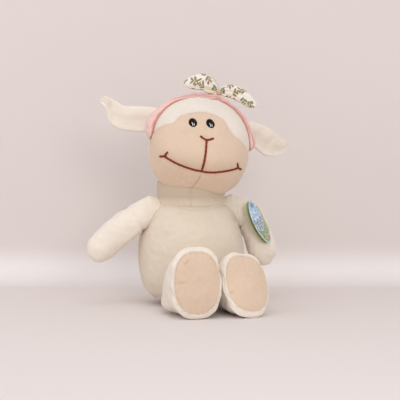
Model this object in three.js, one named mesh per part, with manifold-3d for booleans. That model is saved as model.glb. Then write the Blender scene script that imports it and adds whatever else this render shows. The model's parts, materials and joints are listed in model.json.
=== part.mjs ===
// A seated plush lamb, about 25 cm tall with its bow: a bean-weighted torso, a soft neck, a head with a
// sewn-on face, two ears, two arms, two legs with soles, a headband with a bow, and a folded swing tag.
// Millimetres, +Z up. The toy faces -Y, its left side is +X, and the origin is under its seat.
import * as THREE from "three";
import { ParametricGeometry } from "three/addons/geometries/ParametricGeometry.js";
import { mergeVertices } from "three/addons/utils/BufferGeometryUtils.js";
import Module from "manifold-3d";

const wasm = await Module();
wasm.setup();

const { sin, cos, abs, sqrt, max, min, PI, exp, sign } = Math;
const DEGREE = PI / 180;

// Fabrics, cards and clearances.
const GAP = 0.3; // between two pieces that touch
const TURNING_GAP = 0.5; // between a ball end and the seat it turns in
const PLUSH = 1.6; // thickness of the plush cloth, with its pile
const CARD = 0.5; // thickness of the swing tag's card
const THREAD = 0.9; // half the width of an embroidered line
const THREAD_RISE = 0.5; // how far an embroidered line stands off its panel
const BEYOND = 80; // half of a block that reaches past everything it cuts

// Torso: a pear with its widest place above the seat.
const TORSO = {
  width: 111,
  depth: 101,
  top: 118,
  widestAt: 54,
  lowerPower: 2.4,
  upperPower: 2.2,
  sectionPower: 2.1,
};
const SEAT_CUT = 0.5; // how much of the form the floor takes away
const PELLETS = { width: 58, depth: 46, height: 24, behind: 14 };

// Neck: a short drum that turns in the torso, with a ball on top that the head nods on.
const NECK = { drumRadius: 36, ballRadius: 37.5, rise: 9, sunk: 2, topMouth: 18 };

// Head: a rounded block with a muzzle. Its own frame has its origin in the neck's ball.
const HEAD = {
  width: 104,
  height: 104,
  front: 38,
  back: 43,
  lowerPower: 2.65,
  sectionPower: 2.15,
  ahead: 10,
  above: 45.5,
  roll: 9,
  turn: -6,
};
const MUZZLE = { out: 13, below: 15, spread: 21 };

// Face features, seen straight ahead: aside from and above the middle of the head.
const NOSE = { aside: 0, halfWidth: 7, top: 7, root: 4.2, foot: -25 };
const MOUTH = {
  aside: 0,
  halfWidth: 38,
  corner: -18,
  low: -27,
  tickOut: 42,
  tickIn: 35,
  tickTop: -12.8,
};
const EYES = { left: [2.5, 21.2], right: [-15, 19.8], halfWidth: 4.1, halfHeight: 4.7, proud: 1.2 };

// Ears: leaves with a round root that flaps in a slot of the head.
const EAR = {
  length: 64,
  height: 27,
  thickness: 9,
  rootRadius: 14,
  pinch: 8,
  inset: 6,
  behind: 8,
  above: 16,
  sweep: 20,
};
const EAR_BEND = 2.5; // power with which the ear bends away from its root
const EAR_POSES = {
  left: { rise: -5, lift: 2, curl: 4 },
  right: { rise: -8, lift: 24, curl: 6 },
};

// Arms: curved clubs that start in a ball at the shoulder. Reach and drop are measured from the shoulder.
const SHOULDER = { besideNeck: 11, proud: 2, ahead: 2, ballRadius: 12 };
const ARM = { palm: 16.5, wrist: 13.5, flat: 0.92, mouth: 6 };
const ARM_POSES = {
  left: { bendOut: 27, bendDown: -5, handOut: 35, handDown: 54, handAhead: 9 },
  right: { bendOut: 30, bendDown: -4, handOut: 61, handDown: 46, handAhead: 4 },
};

// Legs: stout tubes along the floor that rise into the feet. Each starts in a ball at the hip.
const HIP = { apart: 50, ahead: 39, height: 14.5, ballRadius: 14 };
// Turns about its joint's axis, in degrees, at which each limb is cleared of the torso and each ear of the head.
const CLEARED = {
  arm_left: [0, -3],
  arm_right: [0, -10],
  leg_left: [0, -6],
  leg_right: [0, -6],
  ear_left: [11, 22],
  ear_right: [-12, -24],
};
const FOOT = { width: 51, height: 70, mouth: 7 };
const SOLE = { width: 45, height: 60, thickness: 1.4, crown: 3 };
const FOOT_POSES = {
  left: { aside: 4, tilt: 26, turn: 16, reach: 61 },
  right: { aside: 2, tilt: 5, turn: 0, reach: 69 },
};

// Headband, bow and swing tag.
const BAND = { width: 17, thickness: 4.2, from: -92, to: 88, behind: 1, corner: 0.6, panelGap: 3 };
const BAND_RISE = 0.6; // how far the headband stands off the head
const BOW = {
  loopLength: 35,
  loopHeight: 17.5,
  loopDepth: 7.4,
  knotWidth: 8,
  knotHeight: 9,
  aside: 10.5,
  ahead: 4,
  sunk: 1,
  riseLeft: -4,
  riseRight: 1.5,
  fullPower: 0.75,
  roundPower: 0.55,
  root: 0.2,
};
const BOW_END = { length: 17, width: 6, thickness: 1.2 };
const TAG = { length: 50, width: 24, spine: 1.5, openBy: 14, hole: 1.8, margin: 3.5 };
const TAG_PLACE = { out: 12.7, ahead: 25.5, up: 11, face: [0.634, -0.718, 0.328], lean: 20.5 };
const PIN = { radius: 0.55, head: 3, headThickness: 0.8, slack: 3 };
const CARE = { width: 14, length: 22, thickness: 0.6 };

const FINISH = {
  cream: { color: 0xe2d4c0, roughness: 0.95, metalness: 0 },
  white: { color: 0xe8e0d6, roughness: 0.95, metalness: 0 },
  peach: { color: 0xdec0a5, roughness: 0.93, metalness: 0 },
  pink: { color: 0xe1aca5, roughness: 0.9, metalness: 0 },
  print: { color: 0xe9e2d2, roughness: 0.85, metalness: 0 },
  thread: { color: 0x6e3223, roughness: 0.6, metalness: 0 },
  black: { color: 0x22242b, roughness: 0.5, metalness: 0 },
  fibre: { color: 0xf4f2ee, roughness: 1, metalness: 0 },
  cotton: { color: 0xcfc8b8, roughness: 0.95, metalness: 0 },
  card: { color: 0xa9cfe6, roughness: 0.6, metalness: 0 },
  nylon: { color: 0xe6e8e8, roughness: 0.35, metalness: 0 },
  satin: { color: 0xf1efea, roughness: 0.6, metalness: 0 },
};

// A closed mesh as a solid. Vertices that lie together are merged, and its faces are turned outwards.
function solidOf(geometry) {
  const bare = new THREE.BufferGeometry();
  bare.setAttribute("position", geometry.getAttribute("position"));
  bare.setIndex(geometry.getIndex());
  const merged = mergeVertices(bare, 1e-3);
  const index = merged.getIndex().array;
  const faces = [];
  for (let i = 0; i < index.length; i += 3) {
    const [a, b, c] = [index[i], index[i + 1], index[i + 2]];
    if (a !== b && b !== c && c !== a) faces.push(a, b, c);
  }
  const build = (triVerts) =>
    new wasm.Manifold(
      new wasm.Mesh({
        numProp: 3,
        vertProperties: new Float32Array(merged.getAttribute("position").array),
        triVerts: new Uint32Array(triVerts),
      }),
    );
  const made = build(faces);
  return made.volume() < 0 ? build(faces.reverse()) : made;
}

function geometryOf(made) {
  const mesh = made.getMesh();
  const geometry = new THREE.BufferGeometry();
  geometry.setAttribute("position", new THREE.BufferAttribute(mesh.vertProperties, mesh.numProp));
  geometry.setIndex(new THREE.BufferAttribute(mesh.triVerts, 1));
  geometry.computeVertexNormals();
  return geometry;
}

// A closed surface from a function of two numbers between 0 and 1: once round, and from pole to pole.
function closedSurface(place, around, along) {
  return solidOf(new ParametricGeometry(place, around, along));
}

// A ball whose flat faces lie no deeper than its radius, for seats that something turns in.
function ball(radius, x, y, z, around = 18) {
  const corner = radius / cos(PI / around) ** 2;
  return solidOf(new THREE.SphereGeometry(corner, around, around / 2).translate(x, y, z));
}

function block(width, depth, height, x, y, z) {
  return solidOf(new THREE.BoxGeometry(width, depth, height).translate(x, y, z));
}

function cutAll(made, tools) {
  return tools.reduce((rest, tool) => rest.subtract(tool), made);
}

function moved(made, matrix) {
  return made.transform(matrix.elements);
}

function piece(name, made, finish) {
  const mesh = new THREE.Mesh(geometryOf(made), new THREE.MeshStandardMaterial(FINISH[finish]));
  mesh.name = name;
  return mesh;
}

// The distance at which a function that grows with it becomes 1, found by halving.
function outermost(measure) {
  let [near, far] = [0, 200];
  for (let step = 0; step < 32; step++) {
    const middle = (near + far) / 2;
    if (measure(middle) < 1) near = middle;
    else far = middle;
  }
  return near;
}

// The distance from a form's centre to its skin along a direction. The form is 1 on its skin and grows outwards.
function skinDistance(form, x, y, z) {
  return outermost((out) => form(x * out, y * out, z * out));
}

// A closed star-shaped form, its skin moved out by a distance along each direction.
function starForm(form, centre, out, around, along) {
  return closedSurface(
    (u, v, target) => {
      const [turn, tilt] = [u * 2 * PI, v * PI];
      const [x, y, z] = [sin(tilt) * cos(turn), sin(tilt) * sin(turn), cos(tilt)];
      const reach = skinDistance(form, x, y, z) + out;
      target.set(centre.x + x * reach, centre.y + y * reach, centre.z + z * reach);
    },
    around,
    along,
  );
}

// Torso form, about the middle of its widest place: one superellipse below it and one above.
function torsoForm(x, y, z) {
  const below = z < 0;
  const reach = below ? TORSO.widestAt + SEAT_CUT : TORSO.top - TORSO.widestAt;
  const power = below ? TORSO.lowerPower : TORSO.upperPower;
  const p = TORSO.sectionPower;
  const ring = (abs(x) / (TORSO.width / 2)) ** p + (abs(y) / (TORSO.depth / 2)) ** p;
  return ring ** (power / p) + (abs(z) / reach) ** power;
}

const TORSO_CENTRE = new THREE.Vector3(0, 0, TORSO.widestAt);
const AROUND = 22; // faces round the torso and the neck
const ALONG = 12;
const HEIGHT_STEP = 0.25;

function torso(out) {
  return starForm(torsoForm, TORSO_CENTRE, out, AROUND, ALONG);
}

function torsoHalfWidth(height) {
  return outermost((out) => torsoForm(out, 0, height - TORSO.widestAt));
}

// The height at which the upper torso is as wide as asked.
function heightOfHalfWidth(halfWidth) {
  let height = TORSO.top;
  while (torsoHalfWidth(height) < halfWidth && height > TORSO.widestAt) height -= HEIGHT_STEP;
  return height;
}

// Where the neck's drum meets the torso's skin, and the middle of the neck's ball.
const NECK_SEAM = heightOfHalfWidth(NECK.drumRadius);
const DRUM_TOP = sqrt(NECK.ballRadius ** 2 - NECK.drumRadius ** 2);
const NECK_BALL = new THREE.Vector3(0, 0, NECK_SEAM + NECK.rise + DRUM_TOP);

// The neck's outline from its low mouth to its top mouth, drawn in by a distance.
function neckOutline(inward) {
  const drum = NECK.drumRadius - inward;
  const radius = NECK.ballRadius - inward;
  const low = NECK_SEAM - NECK.sunk - NECK_BALL.z;
  const points = [
    [drum - 2, low + inward * 0.5],
    [drum, low + 2],
    [drum - 0.8, low + 7],
  ];
  const first = -Math.asin(DRUM_TOP / NECK.ballRadius);
  const last = Math.acos(NECK.topMouth / NECK.ballRadius);
  for (let step = 0; step <= 5; step++) {
    const angle = first + ((last - first) * step) / 5;
    points.push([radius * cos(angle), radius * sin(angle)]);
  }
  return points;
}

function turned(points, around = AROUND) {
  const outline = points.map(([r, z]) => new THREE.Vector2(r, z));
  const lathe = new THREE.LatheGeometry(outline, around);
  return solidOf(lathe.rotateX(PI / 2).translate(NECK_BALL.x, NECK_BALL.y, NECK_BALL.z));
}

function neckCover() {
  const outside = neckOutline(0);
  const inside = neckOutline(PLUSH).reverse();
  return turned([...outside, ...inside, outside[0]]);
}

function neckStuffing() {
  const skin = neckOutline(PLUSH + GAP);
  return turned([[0, skin[0][1]], ...skin, [0, skin.at(-1)[1]]]);
}

function neckSeat() {
  const skin = neckOutline(-TURNING_GAP);
  const low = skin[0][1] - TURNING_GAP;
  return turned([[0, low], [skin[0][0], low], ...skin.slice(1), [0, skin.at(-1)[1]]]);
}

// A shoulder sits beside the neck, at the height where the torso's skin is that far out.
function shoulderAt(side) {
  const aside = NECK.drumRadius + SHOULDER.besideNeck;
  return new THREE.Vector3(side * aside, -SHOULDER.ahead, heightOfHalfWidth(aside - SHOULDER.proud));
}

function hipAt(side) {
  return new THREE.Vector3((side * HIP.apart) / 2, -HIP.ahead, HIP.height);
}

function limbSeats(clear) {
  return [-1, 1].flatMap((side) => {
    const [shoulder, hip] = [shoulderAt(side), hipAt(side)];
    return [
      ball(SHOULDER.ballRadius + clear, shoulder.x, shoulder.y, shoulder.z),
      ball(HIP.ballRadius + clear, hip.x, hip.y, hip.z),
    ];
  });
}

function pelletForm(x, y, z) {
  const flat = (abs(x) / (PELLETS.width / 2)) ** 2.5 + (abs(y) / (PELLETS.depth / 2)) ** 2.5;
  return flat + (abs(z) / (PELLETS.height / 2)) ** 2.5;
}

function pelletBag(out) {
  const centre = new THREE.Vector3(0, PELLETS.behind, PELLETS.height / 2 + PLUSH);
  return starForm(pelletForm, centre, out, 20, 10);
}

// Everything under a height above the floor.
function under(height) {
  return block(4 * BEYOND, 4 * BEYOND, 2 * BEYOND, 0, 0, height - BEYOND);
}

// The torso's cover has a seat for the neck, each shoulder and each hip, and its stuffing has room for the
// bag of pellets.
function addTorso(group) {
  const [floor, lining, inner] = [under(0), under(PLUSH), under(PLUSH + GAP)];
  const seats = [neckSeat(), ...limbSeats(TURNING_GAP)];
  const hollow = torso(-PLUSH).subtract(lining);
  const cover = cutAll(torso(0).subtract(floor).subtract(hollow), seats);
  const bag = cutAll(pelletBag(0), [inner, ...limbSeats(TURNING_GAP + GAP)]).intersect(torso(-PLUSH - GAP));
  const fill = cutAll(torso(-PLUSH - GAP).subtract(inner), [...seats, pelletBag(GAP)]);
  group.add(
    piece("torso_cover", cover, "cream"),
    piece("torso_stuffing", fill, "fibre"),
    piece("pellet_bag", bag, "cotton"),
  );
}

function addNeck(group) {
  group.add(piece("neck_cover", neckCover(), "cream"), piece("neck_stuffing", neckStuffing(), "fibre"));
}

// Head form about its own centre, in the head's frame: a superellipsoid whose front bulges at the muzzle.
function headForm(x, y, z) {
  const power = z < 0 ? HEAD.lowerPower : 2;
  const p = HEAD.sectionPower;
  const bulge = MUZZLE.out * exp(-(((z + MUZZLE.below) / MUZZLE.spread) ** 2));
  const depth = y < 0 ? HEAD.front + bulge : HEAD.back;
  const ring = (abs(x) / (HEAD.width / 2)) ** p + (abs(y) / depth) ** p;
  return ring ** (power / p) + (abs(z) / (HEAD.height / 2)) ** power;
}

const HEAD_CENTRE = new THREE.Vector3(0, -HEAD.ahead, HEAD.above);

function head(out) {
  return starForm(headForm, HEAD_CENTRE, out, 24, 15);
}

// A place on the head's front, seen from straight ahead at x to its left and z above its centre.
function onFace(x, z, out) {
  const direction = new THREE.Vector3(x, -outermost((ahead) => headForm(x, -ahead, z)), z);
  return direction.setLength(direction.length() + out).add(HEAD_CENTRE);
}

// An upright prism through the head's front, from an outline of [x, z] points joined by a smooth curve.
function facePrism(points, out) {
  const middle = new THREE.Vector2(0, FACE_MIDDLE);
  const spread = points.map(([x, z]) => {
    const point = new THREE.Vector2(x, z);
    return point.add(point.clone().sub(middle).setLength(out));
  });
  const curve = new THREE.SplineCurve([...spread, spread[0]]);
  const shape = new THREE.Shape(curve.getPoints(points.length * 3).slice(0, -1));
  const prism = new THREE.ExtrudeGeometry(shape, { depth: BEYOND, bevelEnabled: false });
  return solidOf(prism.rotateX(PI / 2).translate(HEAD_CENTRE.x, HEAD_CENTRE.y, HEAD_CENTRE.z));
}

const FACE_MIDDLE = -12; // height of the point that the outline spreads from
const FACE_EDGE = [
  [-56, -8],
  [-49, 7],
  [-40, 14.5],
  [-30, 18.5],
  [-25, 27],
  [-15, 33.5],
  [-4, 35],
  [8, 33.5],
  [18, 29.5],
  [23.5, 22.5],
  [30, 17],
  [40, 13],
  [48, 5],
  [56, -8],
  [56, -32],
  [40, -52],
  [20, -58],
  [0, -60],
  [-20, -58],
  [-40, -52],
  [-56, -32],
];

// The head's cover and stuffing, and the two panels sewn to its front. The peach face ends at its edge, and the
// white brow fills the front above it as far as the headband.
function addHead(group, earSlots) {
  const seat = ball(NECK.ballRadius + TURNING_GAP, 0, 0, 0);
  const panelBack = HEAD_CENTRE.y - BAND.behind - BAND.panelGap;
  const behindBand = block(2 * BEYOND, 2 * BEYOND, 2 * BEYOND, 0, panelBack + BEYOND, HEAD_CENTRE.z);
  const cover = cutAll(head(0).subtract(head(-PLUSH)), [seat, ...earSlots]);
  const fill = cutAll(head(-PLUSH - GAP), [seat, ...earSlots]);
  const skin = head(GAP + PLUSH).subtract(head(GAP));
  const clearSeat = ball(NECK.ballRadius + TURNING_GAP + GAP, 0, 0, 0);
  const face = cutAll(skin.intersect(facePrism(FACE_EDGE, 0)), [clearSeat, behindBand]);
  const brow = block(2 * BEYOND, 2 * BEYOND, 2 * BEYOND, 0, HEAD_CENTRE.y - BEYOND, HEAD_CENTRE.z + BEYOND);
  const bandRoom = headband(GAP);
  const forehead = cutAll(skin.intersect(brow), [facePrism(FACE_EDGE, GAP), behindBand, bandRoom]);
  group.add(
    piece("head_cover", cover, "cream"),
    piece("head_stuffing", fill, "fibre"),
    piece("face_panel", face.subtract(bandRoom), "peach"),
    piece("forehead_panel", largest(forehead), "white"),
  );
}

function largest(made) {
  return made.decompose().reduce((best, part) => (part.volume() > best.volume() ? part : best));
}

// A power that keeps its number's sign, for rounded rectangles.
function signedPower(value, power) {
  return sign(value) * abs(value) ** power;
}

// The headband lies on the head from ear to ear, in the plane of the silhouette: a flat tube whose section
// is a rounded strip, carried round the head by its angle from the crown.
function headband(clear) {
  const place = (u, v, target) => {
    const angle = (BAND.from + (BAND.to - BAND.from) * v) * DEGREE;
    const open = v > 0 && v < 1 ? 1 : 0;
    const turn = u * 2 * PI;
    const y = BAND.behind + open * signedPower(cos(turn), BAND.corner) * (BAND.width / 2 + clear);
    const lift = open * signedPower(sin(turn), BAND.corner) * (BAND.thickness / 2 + clear);
    const [dx, dz] = [sin(angle), cos(angle)];
    const skin = outermost((out) => headForm(dx * out, y, dz * out));
    const reach = skin + BAND.thickness / 2 + BAND_RISE + lift;
    target.set(HEAD_CENTRE.x + dx * reach, HEAD_CENTRE.y + y, HEAD_CENTRE.z + dz * reach);
  };
  return closedSurface(place, 8, 16);
}

// Embroidery: a line of thread is a thin tube laid on the face through its points.
function threadLine(points) {
  const places = points.map(([x, z]) => onFace(x, z, GAP + PLUSH + THREAD_RISE + THREAD));
  const path = new THREE.CatmullRomCurve3(places);
  const section = new THREE.Shape().absarc(0, 0, THREAD, 0, 2 * PI);
  const steps = max(2, points.length * 2);
  return solidOf(
    new THREE.ExtrudeGeometry(section, { steps, curveSegments: 3, extrudePath: path, bevelEnabled: false }),
  );
}

function noseStitching() {
  const arms = [
    [NOSE.aside - NOSE.halfWidth, NOSE.top],
    [NOSE.aside, NOSE.root],
    [NOSE.aside + NOSE.halfWidth, NOSE.top],
  ];
  const stem = [
    [NOSE.aside, NOSE.root],
    [NOSE.aside, (NOSE.root + NOSE.foot) / 2],
    [NOSE.aside, NOSE.foot],
  ];
  return threadLine(arms).add(threadLine(stem)).subtract(head(2 * GAP + PLUSH));
}

// The smile follows a parabola between its corners.
function smileHeight(x) {
  return MOUTH.low + (MOUTH.corner - MOUTH.low) * (x / MOUTH.halfWidth) ** 2;
}

function mouthStitching() {
  const count = 9;
  const smile = Array.from({ length: count }, (_, i) => {
    const x = MOUTH.halfWidth * ((2 * i) / (count - 1) - 1);
    return [MOUTH.aside + x, smileHeight(x)];
  });
  const ticks = [-1, 1].map((side) =>
    threadLine([
      [MOUTH.aside + side * MOUTH.tickOut, MOUTH.corner],
      [MOUTH.aside + side * MOUTH.halfWidth, MOUTH.corner],
      [MOUTH.aside + side * MOUTH.tickIn, MOUTH.tickTop],
    ]),
  );
  const line = ticks.reduce((all, tick) => all.add(tick), threadLine(smile));
  return line.subtract(head(2 * GAP + PLUSH));
}

// An embroidered eye is a low oval pad on the face.
function eyePad([x, z]) {
  const base = onFace(x, z, GAP + PLUSH + GAP);
  const ahead = onFace(x, z, 20).sub(base).normalize();
  const turn = new THREE.Quaternion().setFromUnitVectors(new THREE.Vector3(0, 0, 1), ahead);
  const pad = new THREE.SphereGeometry(1, 14, 8).scale(EYES.halfWidth, EYES.halfHeight, EYES.proud);
  pad.applyQuaternion(turn).translate(base.x, base.y, base.z);
  return solidOf(pad).subtract(head(GAP + PLUSH + GAP));
}

// The ear's half height along its length: a round root, a full middle and a round tip.
function earHalfHeight(s) {
  const root = sqrt(max(0, EAR.rootRadius ** 2 - s * s));
  if (s < EAR.pinch) return root;
  const t = s / EAR.length;
  const narrow = sqrt(EAR.rootRadius ** 2 - EAR.pinch ** 2);
  const grown = min(1, (s - EAR.pinch) / (EAR.length * 0.45 - EAR.pinch));
  const leaf = narrow + (EAR.height / 2 - narrow) * sin((grown * PI) / 2);
  return leaf * sqrt(max(0, 1 - max(0, (t - 0.45) / 0.55) ** 2.4));
}

// An ear in its own frame: its length runs out along +X times side, and its face looks along -Y.
function ear(side, pose, out) {
  const first = -EAR.rootRadius;
  const place = (u, v, target) => {
    const s = first + (EAR.length - first) * (1 - cos(v * PI)) * 0.5;
    const bend = max(0, s / EAR.length);
    const half = v <= 0 || v >= 1 ? 0 : earHalfHeight(s) + out;
    const thin = half <= 0 ? 0 : (EAR.thickness / 2) * (1 - 0.55 * bend) + out;
    const turn = u * 2 * PI;
    const y = thin * sign(sin(turn)) * abs(sin(turn)) ** 0.8;
    const z = half * cos(turn);
    target.set(
      side * s,
      y + pose.curl * bend ** EAR_BEND,
      z + pose.lift * bend ** EAR_BEND,
    );
  };
  return closedSurface(place, 12, 11);
}

// Everything on one side of the ear's bent middle surface. The face is 1 for the back and -1 for the lining.
function earSide(pose, face) {
  const [from, to, steps] = [-2 * EAR.rootRadius, EAR.length + EAR.rootRadius, 20];
  const line = Array.from({ length: steps + 1 }, (_, i) => {
    const s = from + ((to - from) * i) / steps;
    const bend = max(0, s / EAR.length);
    return new THREE.Vector2(s, pose.curl * bend ** EAR_BEND + (face * GAP) / 2);
  });
  const far = face * EAR.length;
  const shape = new THREE.Shape([...line, new THREE.Vector2(to, far), new THREE.Vector2(from, far)]);
  const prism = new THREE.ExtrudeGeometry(shape, { depth: 2 * BEYOND, bevelEnabled: false });
  return solidOf(prism.translate(0, 0, -BEYOND));
}

function earFrame(side) {
  const pose = side > 0 ? EAR_POSES.left : EAR_POSES.right;
  const group = new THREE.Group();
  group.position.set(
    side * (HEAD.width / 2 - EAR.inset),
    HEAD_CENTRE.y + EAR.behind,
    HEAD_CENTRE.z + EAR.above,
  );
  group.rotation.set(0, -side * pose.rise * DEGREE, side * EAR.sweep * DEGREE, "ZYX");
  group.updateMatrix();
  return group;
}

function earSlot(side) {
  const width = EAR.thickness + 2 * TURNING_GAP;
  const coin = new THREE.CylinderGeometry(EAR.rootRadius + TURNING_GAP, EAR.rootRadius + TURNING_GAP, width, 28);
  return moved(solidOf(coin), earFrame(side).matrix);
}

// The head in an ear's frame, turned about the ear's root, without the slot.
function headRoom(side, name) {
  const back = earFrame(side).matrix.clone().invert();
  const around = moved(head(2 * GAP + PLUSH).subtract(earSlot(side)), back);
  const axis = new THREE.Vector3(0, 1, 0);
  return CLEARED[`ear_${name}`].map((angle) =>
    moved(around, new THREE.Matrix4().makeRotationAxis(axis, -angle * DEGREE)),
  );
}

function addEar(group, side, name) {
  const frame = earFrame(side);
  const pose = side > 0 ? EAR_POSES.left : EAR_POSES.right;
  const whole = cutAll(ear(side, pose, 0), headRoom(side, name));
  const mirror = new THREE.Matrix4().makeScale(side, 1, 1);
  for (const [label, face] of [["outer", 1], ["lining", -1]]) {
    const half = whole.intersect(moved(earSide(pose, face), mirror));
    frame.add(piece(`ear_${name}_${label}`, largest(half), "cream"));
  }
  group.add(frame);
}

// Bow: two puffed loops beside a knot, and a short end under one of them, on top of the headband.
function bowFrame() {
  const crown = HEAD.height / 2 + BAND_RISE + BAND.thickness;
  const group = new THREE.Group();
  const height = HEAD_CENTRE.z + crown + BOW.knotHeight / 2 - BOW.sunk;
  group.position.set(BOW.aside, HEAD_CENTRE.y + BAND.behind - BOW.ahead, height);
  group.updateMatrix();
  return group;
}

// A loop swells from its root beside the knot to its fullest place and closes in a blunt end.
function bowLoop(side) {
  const place = (u, v, target) => {
    const s = BOW.knotWidth / 2 + GAP + BOW.loopLength * v;
    const open = v > 0 && v < 1 ? 1 : 0;
    const fullness = open * (sin(PI * v ** BOW.fullPower) ** BOW.roundPower + BOW.root * (1 - v));
    const turn = u * 2 * PI;
    const y = (BOW.loopDepth / 2) * fullness * sin(turn);
    const z = (BOW.loopHeight / 2) * fullness * cos(turn);
    target.set(side * s, y, z + (side < 0 ? BOW.riseRight : BOW.riseLeft) * v);
  };
  return closedSurface(place, 12, 10);
}

// The bow's one short end is a flat strip that lies ahead of the loop on the toy's right.
function bowTail() {
  const { length, width, thickness } = BOW_END;
  const strip = new THREE.BoxGeometry(length, thickness, width);
  const ahead = (BOW.loopDepth / 2) * (1 + BOW.root / 2) + 2 * GAP + thickness / 2;
  strip.translate(-BOW.knotWidth / 2 - length / 2, -ahead, -BOW.knotHeight * 0.3);
  return solidOf(strip);
}

function addBow(group) {
  const frame = bowFrame();
  const knot = new THREE.SphereGeometry(1, 12, 8).scale(
    BOW.knotWidth / 2,
    BOW.loopDepth / 2 + 0.6,
    BOW.knotHeight / 2,
  );
  const band = moved(headband(GAP), frame.matrix.clone().invert());
  const skull = moved(head(GAP), frame.matrix.clone().invert());
  frame.add(
    piece("bow_knot", cutAll(solidOf(knot), [band, skull]), "pink"),
    piece("bow_loop_left", cutAll(bowLoop(1), [band, skull]), "print"),
    piece("bow_loop_right", largest(cutAll(bowLoop(-1), [band, skull])), "print"),
    piece("bow_tail", largest(cutAll(bowTail(), [band, skull])), "print"),
  );
  group.add(frame);
}

// A limb: rounded sections carried along a middle line. The list runs from the root's mouth to the tip, and
// the wall turns back inside, so that the cover is one skin with an open mouth.
function limb(sections, out, around) {
  const place = (u, v, target) => {
    const last = sections.length - 1;
    const at = v * last;
    const index = min(last - 1, Math.floor(at));
    const mix = at - index;
    const [a, b] = [sections[index], sections[index + 1]];
    const turn = u * 2 * PI;
    const read = (s) => {
      const wide = s.wide > 0 ? s.wide + out : 0;
      const tall = s.tall > 0 ? s.tall + out : 0;
      return s.middle
        .clone()
        .addScaledVector(s.forward, (s.push ?? 0) * out)
        .addScaledVector(s.across, wide * cos(turn))
        .addScaledVector(s.up, tall * sin(turn));
    };
    target.copy(read(a).lerp(read(b), mix));
  };
  return closedSurface(place, around, sections.length - 1);
}

// Sections of an arm about its shoulder: a ball, then a curve of thickening rounds that ends in a palm.
function armSections(side, pose) {
  const radius = SHOULDER.ballRadius;
  const root = new THREE.Vector3(0, 0, 0);
  const bend = new THREE.Vector3(side * pose.bendOut, -pose.handAhead * 0.2, -pose.bendDown);
  const hand = new THREE.Vector3(side * pose.handOut, -pose.handAhead, -pose.handDown);
  const line = new THREE.QuadraticBezierCurve3(root, bend, hand);
  const length = line.getLength();
  const sections = [];
  const startAlong = line.getTangent(0);
  const frame = (forward) => {
    const across = new THREE.Vector3(0, -1, 0).cross(forward).normalize();
    return { forward, across, up: new THREE.Vector3().crossVectors(forward, across).normalize() };
  };
  for (const angle of [0, 32, 55, 75]) {
    const share = sin(angle * DEGREE);
    sections.push({
      middle: startAlong.clone().multiplyScalar(-radius * cos(angle * DEGREE)),
      ...frame(startAlong),
      wide: radius * share,
      tall: radius * share,
      push: -cos(angle * DEGREE),
    });
  }
  const stops = [0.1, 0.22, 0.36, 0.5, 0.64, 0.78];
  for (const t of stops) {
    const grow = min(1, max(0, (t - 0.05) / 0.6));
    const size = ARM.wrist - 1.5 * sin(PI * min(1, t / 0.3)) + (ARM.palm - ARM.wrist) * sin((grow * PI) / 2);
    sections.push({ middle: line.getPointAt(t), ...frame(line.getTangentAt(t)), wide: size, tall: size * ARM.flat });
  }
  const end = line.getPointAt(stops.at(-1));
  const along = line.getTangentAt(0.85);
  const rest = length * (1 - stops.at(-1));
  for (const angle of [25, 48, 68, 82, 90]) {
    const share = cos(angle * DEGREE);
    sections.push({
      middle: end.clone().addScaledVector(along, rest * sin(angle * DEGREE)),
      ...frame(along),
      wide: angle === 90 ? 0 : ARM.palm * share,
      tall: angle === 90 ? 0 : ARM.palm * share * ARM.flat,
      push: sin(angle * DEGREE),
    });
  }
  return sections;
}

// The torso in a limb's frame, turned about the limb's root, without the room of the root itself.
function torsoRoom(name, root, radius, axis, clear) {
  const around = torso(clear).translate([-root.x, -root.y, -root.z]).subtract(ball(radius + GAP, 0, 0, 0));
  return CLEARED[name].map((angle) => {
    const back = new THREE.Matrix4().makeRotationAxis(axis, -angle * DEGREE);
    return moved(around, back);
  });
}

// A limb's cover has a mouth at its root, where its stuffing shows to the torso's. The plug that opens it
// is longer than the root is deep.
function addLimb(group, name, sections, around, { root, radius, axis, mouth, floor = [] }) {
  const long = 60;
  const back = sections[1].forward.clone().negate();
  const turn = new THREE.Quaternion().setFromUnitVectors(new THREE.Vector3(0, 1, 0), back);
  const at = new THREE.Matrix4().compose(
    back.clone().multiplyScalar(long / 2),
    turn,
    new THREE.Vector3(1, 1, 1),
  );
  const plug = moved(solidOf(new THREE.CylinderGeometry(mouth, mouth, long, 16)), at);
  const hollow = limb(sections, -PLUSH, around).add(plug);
  const room = (clear) => torsoRoom(name, root, radius, axis, clear);
  const cover = cutAll(limb(sections, 0, around).subtract(hollow), [...room(GAP), ...floor]);
  const fill = cutAll(limb(sections, -PLUSH - GAP, around), [...room(GAP + PLUSH), ...floor]);
  group.add(piece(`${name}_cover`, largest(cover), "cream"), piece(`${name}_stuffing`, fill, "fibre"));
}

function addArm(root, side, name) {
  const shoulder = shoulderAt(side);
  const group = new THREE.Group();
  group.position.copy(shoulder);
  addLimb(group, `arm_${name}`, armSections(side, ARM_POSES[name]), 14, {
    root: shoulder,
    radius: SHOULDER.ballRadius,
    axis: new THREE.Vector3(0, -side, 0),
    mouth: ARM.mouth,
  });
  root.add(group);
  return group;
}

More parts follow.
